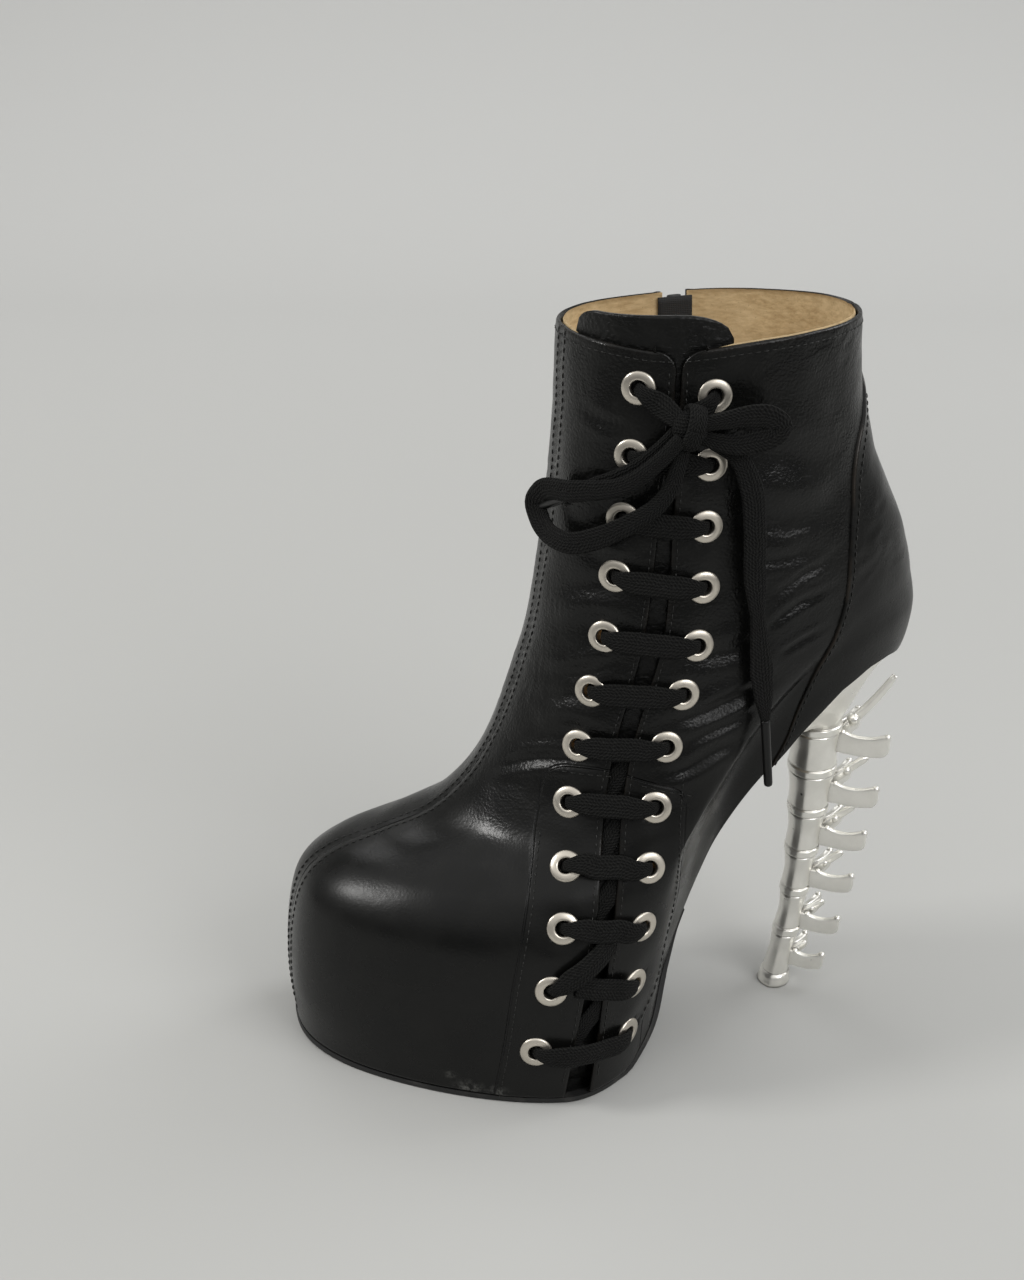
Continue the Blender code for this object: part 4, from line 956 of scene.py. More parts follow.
def upper_columns(level):
    """Angles of the columns, from the back edge of the lace gap round the heel to its front edge."""
    lace_front, lace_back = lace_edges(level)
    zip_back, zip_front = zip_edges(level, ZIP_SLOT)
    steps = [EDGE_STEPS / arc_speed(a, level) for a in (lace_back, zip_back, zip_front, lace_front)]
    lace_start, zip_start = lace_back + steps[0], zip_back - steps[1][::-1]
    zip_end, lace_end = zip_front + steps[2], 2 * np.pi + lace_front - steps[3][::-1]
    return np.concatenate([
        lace_start, spaced_stops(lace_start[-1], np.pi, UPPER_COUNTS[0]), [np.pi],
        spaced_stops(np.pi, zip_start[0], UPPER_COUNTS[1]), zip_start,
        zip_end, spaced_stops(zip_end[-1], 2 * np.pi, UPPER_COUNTS[2]), [2 * np.pi],
        spaced_stops(2 * np.pi, lace_end[0], UPPER_COUNTS[3]), lace_end,
    ])


def edge_sink(far):
    """How far the skin turns down at this distance from a cut edge."""
    short = np.clip(1 - far / EDGE_ROUND, 0, 1)
    return EDGE_ROUND * (1 - np.sqrt(1 - short ** 2))


def build_upper(leather, finishes):
    levels = upper_rows()
    theta = np.stack([upper_columns(level) for level in levels])
    rows, columns = theta.shape
    lowest = lip_level(theta)
    row_level = lowest + levels[:, None] * (1 - lowest / TOP_LEVEL)
    points, out, seam, panel, scuff = leather.at(theta, row_level)
    slot = len(EDGE_STEPS) * 2 + UPPER_COUNTS[0] + 1 + UPPER_COUNTS[1] - 1
    first_open = int(np.searchsorted(levels, ZIP_END_LEVEL))
    edge_far = np.full((rows, columns), 99.0)
    for k, far in enumerate(EDGE_STEPS):
        edge_far[:, [k, columns - 1 - k]] = far
        edge_far[first_open:, [slot - k, slot + 1 + k]] = far
        edge_far[rows - 1 - k] = np.minimum(edge_far[rows - 1 - k], far)
    sink = edge_sink(edge_far)
    sink[:len(EDGE_STEPS)] += edge_sink(EDGE_STEPS)[:, None]
    points = points - out * sink.ravel()[:, None]
    rub = 0.2 * np.exp(-(edge_far / 1.1) ** 2).ravel()
    faces = grid_faces(rows, columns)
    closed_tree = BVHTree.FromPolygons([tuple(p) for p in points], faces)
    centres = points.reshape(rows, columns, 3)
    centres = (centres[:-1, :-1] + centres[1:, 1:]) / 2
    dropped = np.zeros((rows - 1, columns - 1), bool)
    dropped[first_open:, slot] = True
    for eyelet in leather.eyelets:
        dropped |= np.linalg.norm(centres - eyelet["point"], axis=-1) < EYELET_PUNCH
    kept = [f for f, gone in zip(faces, dropped.ravel()) if not gone]
    grain = (0.18 + 0.82 * smooth(row_level, 5.0, 8.5)).ravel()
    mesh = mesh_of("upper_leather", points, kept,
                   {"seam": seam, "panel": panel, "scuff": scuff, "edge": rub, "grain": grain})
    upper = add_mesh("upper_leather", mesh, [finishes["leather"]])
    thicken(upper, WALL - 0.3, rim_only=True)
    finished(upper, "black_leather", "upper")

    back_off = len(EDGE_STEPS) + 2
    beside_zip = [slot - 3, slot, slot + 1, slot + 4]
    some = np.unique(np.concatenate([np.arange(back_off, columns - back_off, 2), beside_zip]))
    lowest_row = np.searchsorted(levels, LINING_START)
    few = np.unique(np.concatenate([np.arange(lowest_row, rows, 2), [rows - 1, first_open]]))
    inside = points - out * (WALL - sink.ravel() * 0.6)[:, None]
    inside = inside.reshape(rows, columns, 3)[np.ix_(few, some)]
    gone = np.zeros((len(few) - 1, len(some) - 1), bool)
    gone[list(few).index(first_open):, list(some).index(slot)] = True
    mids = (inside[:-1, :-1] + inside[1:, 1:]) / 2
    for eyelet in leather.eyelets:
        gone |= np.linalg.norm(mids - eyelet["point"] + eyelet["out"] * WALL, axis=-1) < EYELET_PUNCH
    faces = [f[::-1] for f, skip in zip(grid_faces(len(few), len(some)), gone.ravel()) if not skip]
    mesh = mesh_of("upper_lining", inside.reshape(-1, 3), faces)
    finished(add_mesh("upper_lining", mesh, [finishes["lining"]]), "tan_leather")
    return closed_tree


COUNTER_LIFT = 1.0
COUNTER_GRAIN = 0.3


def counter_edge(level):
    """Angle of the counter's front edge, which runs straight to the back seam at its top."""
    if level > 10.9:
        rows = np.array((*COUNTER_EDGE, (11.28, 179.0)))
        return np.radians(np.interp(level, rows[:, 0], rows[:, 1]))
    return math.radians(float(through(COUNTER_EDGE, level)))


def build_counter(leather, finishes):
    """Raised panel over the heel, on both sides, whose edge turns down on to the upper."""
    levels = np.concatenate([np.linspace(0.02, 10.4, 120), np.linspace(10.5, 11.27, 26)])
    steps = np.array((0.0, 0.15, 0.5, 1.0, 1.7))
    theta, far = [], []
    for level in levels:
        edge = counter_edge(level)
        inset = steps / arc_speed(edge, level)
        inset = inset * min(1.0, 0.6 * (np.pi - edge) / inset[-1])
        half = np.concatenate([edge + inset, spaced_stops(edge + inset[-1], np.pi, 40)])
        theta.append(np.concatenate([half, [np.pi], 2 * np.pi - half[::-1]]))
        reach = np.full(len(theta[-1]), 9.0)
        reach[:len(steps)], reach[-len(steps):] = steps, steps[::-1]
        far.append(reach)
    theta, far = np.stack(theta), np.stack(far)
    far = np.minimum(far, 4.0 * (levels[-1] - levels)[:, None])
    lift = COUNTER_LIFT * np.sqrt(1 - np.clip(1 - far / 0.9, 0, 1) ** 2) - 0.08
    lowest = lip_level(theta)
    level = lowest + levels[:, None] * (1 - lowest / TOP_LEVEL)
    points, _, _, panel, _ = leather.at(theta, level, lift)
    back = away_from(points, leather.back_line)[0]
    rub = 0.7 * np.exp(-((far - 0.5) / 0.5) ** 2).ravel()
    plain = np.zeros(len(points))
    mesh = mesh_of("counter_panel", points, grid_faces(*theta.shape),
                   {"seam": np.minimum(back, 6.0), "panel": panel, "scuff": plain, "edge": rub,
                    "grain": plain + COUNTER_GRAIN})
    finished(add_mesh("counter_panel", mesh, [finishes["leather"]]), "black_leather", "counter")


# Tongue and soles

TONGUE = 1.6
TONGUE_RISE = 7.8


def build_tongue(finishes):
    """Leather strip behind the lace gap, standing a little above the collar, with a rounded back corner."""
    levels = np.concatenate([[0.25], np.linspace(0.6, TOP_LEVEL, 110)])
    columns = 34
    share = np.linspace(0, 1, columns)
    rows = []
    for level in levels:
        middle = sum(lace_edges(min(level, 11.6))) / 2
        speed = arc_speed(middle, level)
        front_reach = 20.0 + 26.0 * smooth(level, 9.0, TOP_LEVEL)
        back_reach = 16.0 + 5.0 * smooth(level, 4.5, 6.0) - 4.5 * smooth(level, 11.2, TOP_LEVEL)
        theta = middle - front_reach / speed + share * (front_reach + back_reach) / speed
        slack = 1.1 * np.clip(6.0 - level, 0, 1)
        depth = WALL + GAP + slack
        rows.append(skin(theta, level) - depth * skin_normal(theta, np.full(columns, level)))
    short = np.clip((share - 0.72) / 0.28, 0, 1)
    early = np.clip((0.2 - share) / 0.2, 0, 1)
    corner = np.sqrt(1 - short ** 2) * np.sqrt(1 - early ** 2)
    flat_top = rows[-1].copy()
    flat_top[:, 2] += collar_dip(theta)
    for rise in np.linspace(0.1, 1.0, 10):
        lifted = rows[len(levels) - 1] * (1 - rise) + flat_top * rise
        lifted = lifted + np.outer(corner * TONGUE_RISE * rise, (0.0, 0.0, 1.0))
        rows.append(lifted)
    grid = np.stack(rows)
    mesh = mesh_of("tongue_leather", grid.reshape(-1, 3), grid_faces(*grid.shape[:2]))
    tongue = add_mesh("tongue_leather", mesh, [finishes["tongue"], finishes["lining"]])
    thicken(tongue, TONGUE, inner_finish=1)
    finished(tongue, "black_leather", "tongue")


def build_outsole(finishes):
    """Thin black sole from the toe up the arch, with a rounded edge."""
    end = math.acos(1 - 2 * OUTSOLE_END)
    angles = np.concatenate([np.radians(np.linspace(1.2, 12, 14)), np.linspace(math.radians(13), end, 90)])
    along = 0.5 - 0.5 * np.cos(angles)
    centre = sole_at(along)
    ahead = unit(sole_at(along + 1e-3) - sole_at(along - 1e-3))
    down = np.stack([ahead[:, 1], -ahead[:, 0]], -1)
    thin = np.clip((OUTSOLE_END - along) / 0.09, 0.3, 1.0)
    profile = ((0.0, 0.0), (0.0, 0.55), (0.35, 0.9), (1.0, 1.0))
    sections = []
    for k, angle in enumerate(angles):
        outer, inner = skin(angle, 0.0)[0] - 0.4, skin(2 * np.pi - angle, 0.0)[0] + 0.4
        ring = []
        for edge, way, order in ((inner, 1, profile), (outer, -1, profile[::-1])):
            for inset, depth in order:
                y, z = centre[k] + down[k] * (GAP + OUTSOLE * thin[k] * depth)
                ring.append((edge + way * min(inset, (outer - inner) / 4), y, z))
        sections.append(ring)
    grid = np.array(sections)
    mesh = outward(mesh_of("outsole_black", grid.reshape(-1, 3), tube_faces(*grid.shape[:2])))
    mesh.set_sharp_from_angle(angle=math.radians(50))
    finished(add_mesh("outsole_black", mesh, [finishes["sole"]]), "black_rubber", "outsole")


# Eyelets and lace

RING_PROFILE = (
    (2.55, -2.7), (2.5, 0.3), (2.58, 0.72), (2.8, 1.0), (3.15, 1.12), (3.6, 1.1), (4.3, 0.95), (4.95, 0.76),
    (5.28, 0.55), (5.46, 0.25), (5.5, 0.0), (5.35, -0.25), (3.1, -0.3), (3.05, -2.7),
)


def ring_mesh():
    turns = np.linspace(0, 2 * np.pi, 36, endpoint=False)
    profile = (*RING_PROFILE, RING_PROFILE[0])
    rings = [[(r * math.cos(t), r * math.sin(t), h) for t in turns] for r, h in profile]
    mesh = bpy.data.meshes.new("lace_ring")
    points = np.array(rings).reshape(-1, 3) * MM
    mesh.from_pydata(points.tolist(), [], grid_faces(len(rings), len(turns), closed=True))
    outward(mesh, 1e-6).shade_smooth()
    return mesh


def seat_eyelets(leather, wall):
    """Moves each ring on to the finished leather."""
    for eyelet in leather.eyelets:
        hit = wall.ray_cast(Vector(eyelet["point"] + eyelet["out"] * 20), Vector(-eyelet["out"]))[0]
        eyelet["point"] = np.array(hit) + eyelet["out"] * 0.12


def build_eyelets(leather, tree, finishes):
    points = [np.array([e["point"] for e in leather.eyelets])]
    outs = [np.array([e["out"] for e in leather.eyelets])]
    ahead = [np.tile((0.0, 1.0, 0.0), (len(outs[0]), 1))]
    guide = guide_of("lace_ring_spots", points, {"out": outs, "ahead": ahead}, linked=False)
    rings = set_items("lace_rings", tree, guide, ring_mesh(), finishes["nickel"])
    names = [f"eyelet_{side}_{row + 1:02d}" for row in range(EYELET_ROWS) for side in ("front", "back")]
    finished(rings, "nickel", *names)


# Lace at a ring: reach from its middle, height over the leather, width, thickness
LACE_IN_RING = (
    (-0.6, -2.6, 3.6, 2.6), (-0.1, -0.6, 3.7, 2.6), (0.7, 1.0, 4.0, 2.5), (2.2, 2.2, 4.8, 2.2),
    (4.4, 2.75, 6.4, 1.95), (7.2, 2.6, 7.6, LACE_THICK),
)


def lace_from(eyelet, target):
    """First points of a lace out of a ring towards a target, with widths, thicknesses and outs."""
    way = target - eyelet["point"]
    way = unit(way - eyelet["out"] * (way @ eyelet["out"]))
    stops = np.array(LACE_IN_RING)
    points = eyelet["point"] + np.outer(stops[:, 0], way) + np.outer(stops[:, 1], eyelet["out"])
    return points, stops[:, 2], stops[:, 3], np.tile(eyelet["out"], (len(stops), 1))


def lace_mesh(name, parts, spacing=0.8):
    """Lace through the points of several parts, each with widths, thicknesses and outward directions."""
    points = np.concatenate([p[0] for p in parts])
    other = np.concatenate([np.column_stack([p[1], p[2], p[3]]) for p in parts])
    fine = route(np.column_stack([points, other]), spacing)
    line, widths, thicks, outs = fine[:, :3], fine[:, 3], fine[:, 4], fine[:, 5:8]
    ahead = unit(np.gradient(line, axis=0))
    sides = unit(np.cross(unit(outs), ahead))
    outs = unit(np.cross(ahead, sides))
    return swept(name, line, sides, outs, widths, thicks)


def plain_part(points, outs, width=LACE_WIDTH, thick=LACE_THICK):
    count = len(points)
    return np.asarray(points, float), np.full(count, width), np.full(count, thick), np.asarray(outs, float)


def lace_bar(front, back, wall):
    """Lace from ring to ring, lying on the leather between them."""
    start, end = lace_from(front, back["point"]), lace_from(back, front["point"])
    out = unit(front["out"] + back["out"])
    lying = []
    for share in (0.34, 0.5, 0.66):
        start_at = front["point"] + (back["point"] - front["point"]) * share + out * 30
        lying.append(np.array(wall.ray_cast(Vector(start_at), Vector(-out))[0]) + out * 2.4)
    return [start, plain_part(lying, [out] * 3), tuple(part[::-1] for part in end)]


CROSSED_ROW = 10
# Crossed strands of the lowest but one row: y, z where the lace slips under the facing
CROSS_FRONT = (-14.0, 60.5)
CROSS_BACK = (-26.0, 46.5)
# Rows below which the lace shows in the gap, on its way down behind the facings
GAP_ROWS = (6, 7, 8, 9, 10)

KNOT = np.array((42.5, 9.8, 231.5))
KNOT_RADII = (4.6, 6.6, 6.8)
FRONT_LOOP = (
    (44.8, 6.0, 229.0), (42.0, 0.5, 221.5), (37.5, -8.5, 213.0), (24.0, -21.5, 207.5), (6.5, -27.8, 202.0),
    (3.0, -28.6, 197.5), (6.5, -28.0, 193.0), (22.0, -23.6, 190.0), (35.5, -9.5, 198.0), (40.5, 2.5, 208.5),
    (42.0, 7.0, 221.5), (41.6, 8.0, 226.5),
)
BACK_LOOP = (
    (44.6, 12.5, 233.0), (45.6, 19.0, 234.0), (46.8, 27.0, 235.2), (47.4, 33.5, 234.6), (47.6, 37.0, 231.4),
    (47.4, 34.5, 228.6), (46.8, 29.5, 227.2), (46.2, 24.0, 226.4), (44.8, 18.0, 227.0), (42.4, 12.5, 228.5),
)
LONG_END = (
    (39.8, 12.0, 229.0), (41.2, 18.0, 226.0), (42.4, 25.5, 221.0), (43.0, 30.0, 212.0), (42.8, 32.4, 198.0),
    (43.0, 33.4, 182.0), (43.6, 35.3, 166.0), (44.1, 37.7, 147.0), (44.6, 39.6, 131.5),
)
SHORT_END = (
    (40.0, 6.5, 230.0), (38.4, 1.8, 224.0), (35.4, -4.8, 217.0), (30.6, -12.0, 211.5), (23.4, -18.8, 206.8),
    (18.3, -21.7, 204.0),
)
AGLETS = {
    "long": ((44.61, 39.63, 131.3), (44.8, 42.3, 107.0)),
    "short": ((17.9, -21.9, 203.7), (4.0, -27.0, 196.5)),
}
BOW_WIDTH = 7.6
BOW_LEAN = 1.3
AGLET_RADIUS = 1.55


def build_lace_bars(leather, finishes):
    meshes = []
    pairs = list(zip(leather.eyelets[::2], leather.eyelets[1::2]))
    for row, (front, back) in enumerate(pairs):
        if row == 0:
            for eyelet, shift in ((front, (0.0, -3.0, 1.5)), (back, (0.0, 3.0, 2.5))):
                target = KNOT + np.array(shift)
                last = plain_part([target], [(1.0, 0.0, 0.0)], 5.2, 2.4)
                meshes.append(lace_mesh("lace_strand", [lace_from(eyelet, target), last]))
        elif row == CROSSED_ROW:
            crossed = ((back, CROSS_BACK, (1.9, 1.7, 1.0)), (front, CROSS_FRONT, (3.0, 2.6, 0.6)))
            for eyelet, under, lifts in crossed:
                start = eyelet["point"][1:]
                run = [start + (np.array(under) - start) * share for share in (0.5, 0.75, 1.0)]
                spots = [on_side(leather.tree, *place) for place in run]
                lying = [spot + out * lift for (spot, out), lift in zip(spots, lifts)]
                parts = [lace_from(eyelet, spots[-1][0]), plain_part(lying, [out for _, out in spots])]
                meshes.append(lace_mesh("lace_strand", parts))
        else:
            meshes.append(lace_mesh("lace_bar", lace_bar(front, back, leather.tree)))
    for row in GAP_ROWS:
        ends = []
        for z, way in ((EYELET_HEIGHTS[row][1] - 1.0, 1.0), (EYELET_HEIGHTS[row + 1][0] + 1.0, -1.0)):
            ahead, behind, gap = through(LACE_LINE, z)
            ends.append(((ahead + behind) / 2 + way * (gap / 2 + 2.0), z))
        spots = [on_side(leather.tree, y, z) for y, z in route(ends, 3.0)]
        sunk = plain_part([spot - out * 1.6 for spot, out in spots], [out for _, out in spots], 7.0, 1.5)
        meshes.append(lace_mesh("lace_behind", [sunk]))
    bars = joined("lace_bars", meshes, [finishes["cord"]])
    finished(bars, "black_cotton", *[f"lace_bar_{row + 1:02d}" for row in range(EYELET_ROWS)])


def strand(name, points, wall, widths, finish, node_name):
    """One strand of the bow, its flat side towards the boot."""
    line = route(points, 0.9)
    outs = unit(np.array([p - np.array(wall.find_nearest(Vector(p))[0]) for p in line]))
    outs = unit(outs + np.array((BOW_LEAN, 0.0, 0.0)))
    for _ in range(6):
        outs = unit(outs + 0.5 * (np.roll(outs, 1, axis=0) + np.roll(outs, -1, axis=0)))
    ahead = unit(np.gradient(line, axis=0))
    sides = unit(np.cross(outs, ahead))
    outs = unit(np.cross(ahead, sides))
    share = np.linspace(0, 1, len(line))
    width = np.interp(share, *np.array(widths).T)
    mesh = swept(name, line, sides, outs, width, LACE_THICK * BOW_WIDTH / np.maximum(width, 4.5))
    return finished(add_mesh(name, mesh, [finish]), "black_cotton", node_name), placed(line)


def rod_mesh(name, start, end, radius, finish):
    """Lace tip: a round rod with softened ends and a pinched mouth."""
    start, end = np.array(start), np.array(end)
    ahead = unit(end - start)
    side = unit(np.cross(ahead, (1.0, 0.2, 0.0)))
    up = np.cross(ahead, side)
    length = np.linalg.norm(end - start)
    profile = ((0.0, 0.5), (0.0, 0.98), (0.6, 1.05), (1.5, 1.0), (length - 1.2, 0.96), (length - 0.4, 0.86),
               (length, 0.55))
    turns = np.linspace(0, 2 * np.pi, 16, endpoint=False)
    rings = [[start + ahead * s + radius * r * (side * math.cos(t) + up * math.sin(t)) for t in turns]
             for s, r in profile]
    faces = tube_faces(len(profile), len(turns))
    return add_mesh(name, outward(mesh_of(name, np.array(rings).reshape(-1, 3), faces)), [finish])


def build_knot(finishes):
    """Knot of the bow: a bulging core with one turn of lace pulled round it."""
    turns, rises = np.linspace(0, 2 * np.pi, 33)[:-1], np.linspace(-0.49 * np.pi, 0.49 * np.pi, 17)
    core = np.array([[np.array((math.cos(r) * math.cos(t), math.cos(r) * math.sin(t), math.sin(r)))
                      for t in turns] for r in rises])
    lumps = 1 + 0.07 * np.sin(3 * turns)[None] * np.cos(2 * rises)[:, None]
    shape = KNOT + core * np.array(KNOT_RADII) * 0.86 * lumps[..., None]
    faces = tube_faces(len(rises), len(turns))
    uv = np.stack(np.broadcast_arrays(turns[None] * 6, rises[:, None] * 6), -1).reshape(-1, 2)
    meshes = [outward(mesh_of("knot_core", shape.reshape(-1, 3), faces, uv=uv))]
    around = np.linspace(0, 2 * np.pi, 60)
    ring = np.stack([np.cos(around), 0.25 * np.sin(around), np.sin(around)], -1)
    line = KNOT + ring * (np.array(KNOT_RADII) - (0.2, 0.0, 0.6))
    outs = unit(line - KNOT)
    ahead = unit(np.gradient(line, axis=0))
    sides = unit(np.cross(outs, ahead))
    meshes.append(swept("knot_turn", line, sides, unit(np.cross(ahead, sides)), 6.0, 1.9))
    knot = joined("lace_knot_turns", meshes, [finishes["cord"]])
    return finished(knot, "black_cotton", "lace_knot")


def build_bow(wall, finishes):
    knot = build_knot(finishes)
    tips = {}
    for which, (start, end) in AGLETS.items():
        tip = rod_mesh(f"lace_tip_{which}", start, end, AGLET_RADIUS, finishes["tip"])
        tips[which] = finished(tip, "black_plastic", f"lace_aglet_{which}")
    even = ((0.0, 4.6), (0.12, 5.6), (0.3, BOW_WIDTH), (0.7, BOW_WIDTH), (0.88, 5.6), (1.0, 4.6))
    hung = ((0.0, 4.6), (0.12, 5.4), (0.25, BOW_WIDTH), (0.55, BOW_WIDTH), (0.66, 4.8), (0.84, 8.3),
            (0.93, 6.5), (1.0, 3.0))
    tail = ((0.0, 4.6), (0.2, 5.6), (0.7, BOW_WIDTH), (1.0, 3.4))
    strands = (
        ("lace_bow_front", FRONT_LOOP, even, "lace_loop_front", "knot", [knot]),
        ("lace_bow_back", BACK_LOOP, even, "lace_loop_back", "knot", []),
        ("lace_tail_long", LONG_END, hung, "lace_end_long", "fitting", [tips["long"]]),
        ("lace_tail_short", SHORT_END, tail, "lace_end_short", "fitting", [tips["short"]]),
    )
    for name, points, widths, node_name, far_end, pieces in strands:
        piece, line = strand(name, points, wall, widths, finishes["cord"], node_name)


# Stitches

STITCH = {"length": 2.1, "thick": 0.36, "spacing": 2.7}
# Thread of one stitch: share of its length, share of its thickness, height over the leather
STITCH_PROFILE = (
    (-0.5, 0.4, -0.45), (-0.36, 0.9, 0.02), (0.0, 1.0, 0.12), (0.36, 0.9, 0.02), (0.5, 0.4, -0.45),
)
TRIM_STITCH_Z = 3.2


def stitch_mesh():
    """One stitch: a short thread, sunk at both ends."""
    mesh = bpy.data.meshes.new("stitch")
    turns = np.linspace(0, 2 * np.pi, 6, endpoint=False)
    rings = []
    for s, radius, sink in STITCH_PROFILE:
        along, thick = s * STITCH["length"], STITCH["thick"] / 2 * radius
        rings.append([(along, thick * math.cos(t), sink + thick * math.sin(t)) for t in turns])
    points = np.array(rings).reshape(-1, 3) * MM
    mesh.from_pydata(points.tolist(), [], tube_faces(len(rings), len(turns)))
    return outward(mesh)


def stitch_rows(leather, wall):
    """Lines of stitches on the leather, with their outward directions."""
    rows = []

    def lay(points, outs):
        found, turned = [], []
        for point, out in zip(points, outs):
            hit = wall.ray_cast(Vector(point + out * 6), Vector(-out), 14.0)
            if hit[0] is not None:
                found.append(np.array(hit[0]) + 0.04 * out)
                turned.append(out)
        if len(found) > 3:
            rows.append((np.array(found), np.array(turned)))

    levels = np.linspace(0.25, 11.95, 150)
    for side in (2.6, -2.6):
        theta = side / arc_speed(np.full(150, 0.06), levels)
        run = skin(theta, levels)
        lay(run, skin_normal(theta, levels))
    for border, inset in ((FRONT_BORDER, 1.7), (BACK_BORDER, -1.7)):
        line = [(y + inset, z) for z, y in border if z < 113.0]
        lay(*line_on_side(leather.tree, line))
    lay(*line_on_side(leather.tree, [(y, z - 1.7) for y, z in PANEL_TOP[:2]]))
    lay(*line_on_side(leather.tree, [(y, z - 1.7) for y, z in PANEL_TOP[2:]]))
    for which, way in ((0, -1.0), (1, 1.0)):
        rise = np.linspace(0.4, 11.75, 150)
        edge = np.array([lace_edges(min(level, 11.5))[which] for level in rise])
        theta = edge + way * 2.0 / arc_speed(edge, rise)
        lay(skin(theta, rise), skin_normal(theta, rise))
    front, back = lace_edges(TOP_LEVEL - 0.1)
    zip_low, zip_high = zip_edges(TOP_LEVEL - 0.1, ZIP_SLOT + 8.0)
    for first, last in ((back + 0.02, zip_low), (zip_high, 2 * np.pi + front - 0.02)):
        turns = np.linspace(first, last, 160)
        top = skin(turns, np.full(160, float(TOP_LEVEL)))
        level = TOP_LEVEL - TRIM_STITCH_Z / np.linalg.norm(top - skin(turns, TOP_LEVEL - 1.0), axis=1)
        lay(skin(turns, level), skin_normal(turns, level))
    rise = np.linspace(ZIP_END_LEVEL + 0.05, 11.85, 120)
    for way in (0, 1):
        theta = np.array([zip_edges(level, ZIP_SLOT + 4.6)[way] for level in rise])
        lay(skin(theta, rise), skin_normal(theta, rise))
    levels = np.linspace(0.1, 10.9, 120)
    for side in (1, -1):
        edge = np.array([counter_edge(level) for level in levels])
        theta = edge + 2.4 / arc_speed(edge, levels)
        theta = theta if side > 0 else 2 * np.pi - theta
        points, outs, _, _, _ = leather.at(theta, levels, COUNTER_LIFT)
        rows.append((points, outs))
    return rows


def build_stitches(leather, wall, tree, finishes):
    rows = stitch_rows(leather, wall)
    guide = guide_of("stitch_lines", [p for p, _ in rows], {"out": [n for _, n in rows]})
    stitches = set_items("stitching", tree, guide, stitch_mesh(), finishes["thread"], STITCH["spacing"])
    finished(stitches, "black_leather")


# Zip

ZIP_TAPE_WIDTH = 12.5
COIL_PITCH = 1.5


def build_zip(tree, finishes):
    """Woven tape behind the slot, with a row of coil turns along its middle."""
    in_slot = np.linspace(ZIP_END_LEVEL + 0.06, TOP_LEVEL - 0.05, 90)
    levels = np.concatenate([[ZIP_END_LEVEL - 0.2], in_slot])
    rows, middle, outs = [], [], []
    for level in levels:
        low, high = zip_edges(level, ZIP_TAPE_WIDTH)
        theta = np.linspace(low, high, 9)
        depth = WALL + 1.5 * GAP + 0.7 * min(max(ZIP_END_LEVEL + 1.5 - level, 0.0), 1.0)
        rows.append(skin(theta, level) - depth * skin_normal(theta, np.full(9, level)))
        middle.append(rows[-1][4])
        outs.append(skin_normal(theta[4], level))
    grid = np.stack(rows)
    mesh = mesh_of("zip_woven_tape", grid.reshape(-1, 3), grid_faces(*grid.shape[:2]))
    tape = add_mesh("zip_woven_tape", mesh, [finishes["tape"]])
    thicken(tape, 0.8)
    finished(tape, "black_tape", "zip_tape")
    turn = bpy.data.meshes.new("coil_turn")
    ring, rise = np.linspace(0, 2 * np.pi, 15)[:-1], np.linspace(0, 2 * np.pi, 7)[:-1]
    points = [
        [(0.36 * math.cos(r), 2.3 * math.cos(t) + 0.3 * math.cos(t) * math.sin(r),
          0.75 + 0.75 * math.sin(t) + 0.36 * math.sin(t) * math.sin(r)) for r in rise]
        for t in (*ring, ring[0])
    ]
    turn.from_pydata((np.array(points).reshape(-1, 3) * MM).tolist(), [],
                     grid_faces(len(points), len(rise), closed=True))
    line, out = np.array(middle)[3:], np.array(outs)[3:]
    guide = guide_of("zip_line", [line], {"out": [out]})
    coil = set_items("zip_coil", tree, guide, turn, finishes["coil"], COIL_PITCH)
    finished(coil, "black_tape")


def soften(node_name, name, finish, slot, body, width=0.35):
    """Copy of a small metal solid with its edges rounded."""
    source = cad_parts[node_name]
    mesh = source.data.copy()
    mesh.materials.clear()
    shape = bmesh.new()
    shape.from_mesh(mesh)
    bmesh.ops.remove_doubles(shape, verts=shape.verts, dist=1e-6)
    bmesh.ops.dissolve_limit(shape, angle_limit=math.radians(2), verts=shape.verts, edges=shape.edges)
    shape.to_mesh(mesh)
    shape.free()
    item = add_mesh(name, mesh, [finish])
    edge = item.modifiers.new("rounded", "BEVEL")
    edge.width = width * MM
    edge.segments = 3
    edge.limit_method = "ANGLE"
    edge.angle_limit = math.radians(28)
    bpy.context.view_layer.update()
    applied(item)
    item.data.shade_smooth()
    item.data.set_sharp_from_angle(angle=math.radians(50))
    return finished(item, slot, node_name, body=body)


# Spine heel

COLUMN = (
    (0.0, 68.5, 6.4), (8.0, 69.6, 5.5), (25.0, 72.8, 5.2), (41.0, 74.6, 5.6), (57.0, 76.0, 6.5),
    (73.0, 77.0, 7.7), (89.5, 77.4, 9.2), (106.0, 77.8, 9.7),
)
RING_HEIGHTS = (106.0, 89.5, 73.0, 56.0, 39.5, 22.5)
RING_HALF = 1.25
# Section of the column: bearing in degrees (0 outer side, 90 back), share of the radius
COLUMN_SECTION = (
    (-90.0, 0.88), (-60.0, 0.92), (-32.0, 1.04), (0.0, 1.02), (35.0, 0.99), (65.0, 0.98), (90.0, 1.0),
)
CUP_FOOT_Z = 109.0
CUP_CENTRE_Y = 79.0
CUP_FLARE = (0.7, 1.5)
BREAST_Y = 58.0
BREAST_REACH = 11.0
BREAST_TURN = (-0.95, -0.6)
TIP_HEIGHT = 5.0
BLADE_THICK = 2.5
BLADE_SPLAY = 30.0
SPINE_THICK = 2.2
